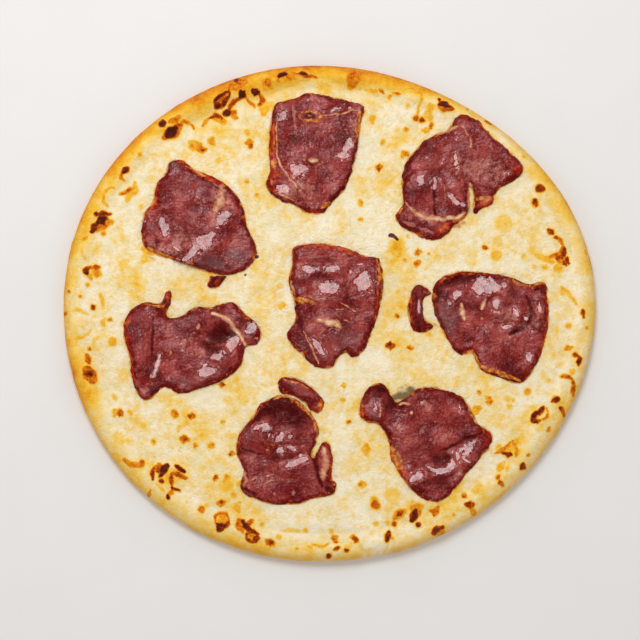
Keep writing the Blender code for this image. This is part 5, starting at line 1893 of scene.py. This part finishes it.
def beef_finish(name):
    """Dark red cured meat with fat, oily rims and wet patches."""
    made = Beef(name)
    tone, film, dry = beef_tone(made), oil_film(made), dry_share(made)
    whole = made.step(made.wet, 0.5, 0.28, 0.05, 1.0)
    relief = made.bump(beef_height(made, whole), 0.5)
    crinkles = made.times(made.grain(1.8, 1, 17, 0.65), whole)
    moist = made.times(made.step(made.grain(9, 3, 27), 0.52, 0.64), 0.26)
    broken = made.times(film, made.step(made.grain(3.0, 3, 31, 0.6), 0.3, 0.6, 0.55, 1.0))
    return made.finish(
        Base_Color=painted_colour(made, lean_colour(made, tone), film), Normal=relief,
        Roughness=made.line(made.fine, 0.3, 0.7, 0.3, 0.46),
        Specular_IOR_Level=made.times(dry, made.step(tone, 0.32, 0.56, 0.16, 0.43)),
        Coat_Weight=made.sum(broken, made.times(dry, moist), "MAXIMUM"),
        Coat_IOR=OIL_BENDS, Coat_Roughness=OIL_ROUGHNESS,
        Coat_Normal=made.bump(crinkles, 0.4, relief))


beef = beef_finish("cured_beef")
for piece in meat:
    piece.data.materials.append(beef)
print("nodes in the finish of the beef:", len(beef.node_tree.nodes))

# %% [markdown]
# ## Table
# The table is a plain pale sheet under the pizza. It only catches the shadow, so one large
# square is enough.

# %% Table
bpy.ops.mesh.primitive_plane_add(size=6)
table = bpy.context.object
table.name = "table"
paper = Finish("pale_table")
table.data.materials.append(paper.finish(
    Base_Color=paper.mix(shade(239, 236, 233), shade(243, 240, 237), paper.grain(40, 2, 9)),
    Roughness=0.8, Specular_IOR_Level=0.2))
print("table at", table.location.z)

# %% [markdown]
# ## Lamp
# One large soft lamp gives the wet highlights, and soft shadows that fall towards the
# viewer. A sun would give every highlight and every shadow a hard edge.

# %% Lamp
LAMP_HALF_ANGLE, LAMP_RADIANCE = 12.5, 7.05


def stand(thing, place, looks_at):
    """Puts a lamp or a camera at a place in millimetres, turned to another."""
    thing.location = (place - np.array([*MIDDLE, 0])) * MM
    thing.rotation_mode = "QUATERNION"
    thing.rotation_quaternion = Vector(place - looks_at).to_track_quat("Z", "Y")
    bpy.context.collection.objects.link(thing)


lamp_data = bpy.data.lights.new("soft_lamp", "AREA")
lamp_data.shape = "SQUARE"
lamp_data.size = 2 * LAMP_AWAY * MM * math.tan(math.radians(LAMP_HALF_ANGLE))
lamp_data.energy = LAMP_RADIANCE * math.pi * lamp_data.size ** 2
stand(bpy.data.objects.new("soft_lamp", lamp_data), LAMP_PLACE, np.zeros(3))
print("lamp side:", round(lamp_data.size, 2), "m")

# %% [markdown]
# ## The rest of the light
# The world fills in what the lamp leaves dark. It is brighter near the horizon and dimmer
# overhead, so that meat lying flat mirrors little and keeps its deep red.

# %% World
OVERHEAD, HORIZON = 0.25, 1.23
world = bpy.data.worlds.new("studio")
world.use_nodes = True
sky = world.node_tree
towards = sky.nodes.new("ShaderNodeTexCoord")
parts = sky.nodes.new("ShaderNodeSeparateXYZ")
dimming = sky.nodes.new("ShaderNodeMapRange")
dimming.inputs["To Min"].default_value = HORIZON
dimming.inputs["To Max"].default_value = OVERHEAD
sky.links.new(towards.outputs["Generated"], parts.inputs[0])
sky.links.new(parts.outputs["Z"], dimming.inputs["Value"])
sky.links.new(dimming.outputs[0], sky.nodes["Background"].inputs["Strength"])
sky.nodes["Background"].inputs["Color"].default_value = (1.0, 1.0, 1.0, 1)
bpy.context.scene.world = world
bpy.context.scene.view_settings.view_transform = "Standard"
print("overhead and horizon:", OVERHEAD, HORIZON)

# %% [markdown]
# ## Camera
# The viewer stands almost above the pizza, far enough away to keep the outline nearly as it
# is in plan.

# %% Camera
camera_data = bpy.data.cameras.new("camera")
camera_data.lens = 130.0
camera_data.sensor_width = 36.0
camera = bpy.data.objects.new("camera", camera_data)
stand(camera, VIEW_PLACE, AIM)
bpy.context.scene.camera = camera
print("camera at", tuple(round(part, 3) for part in camera.location))

# %% [markdown]
# ## Sizes and the end
# The finer pieces have to fill the same box as the solids.
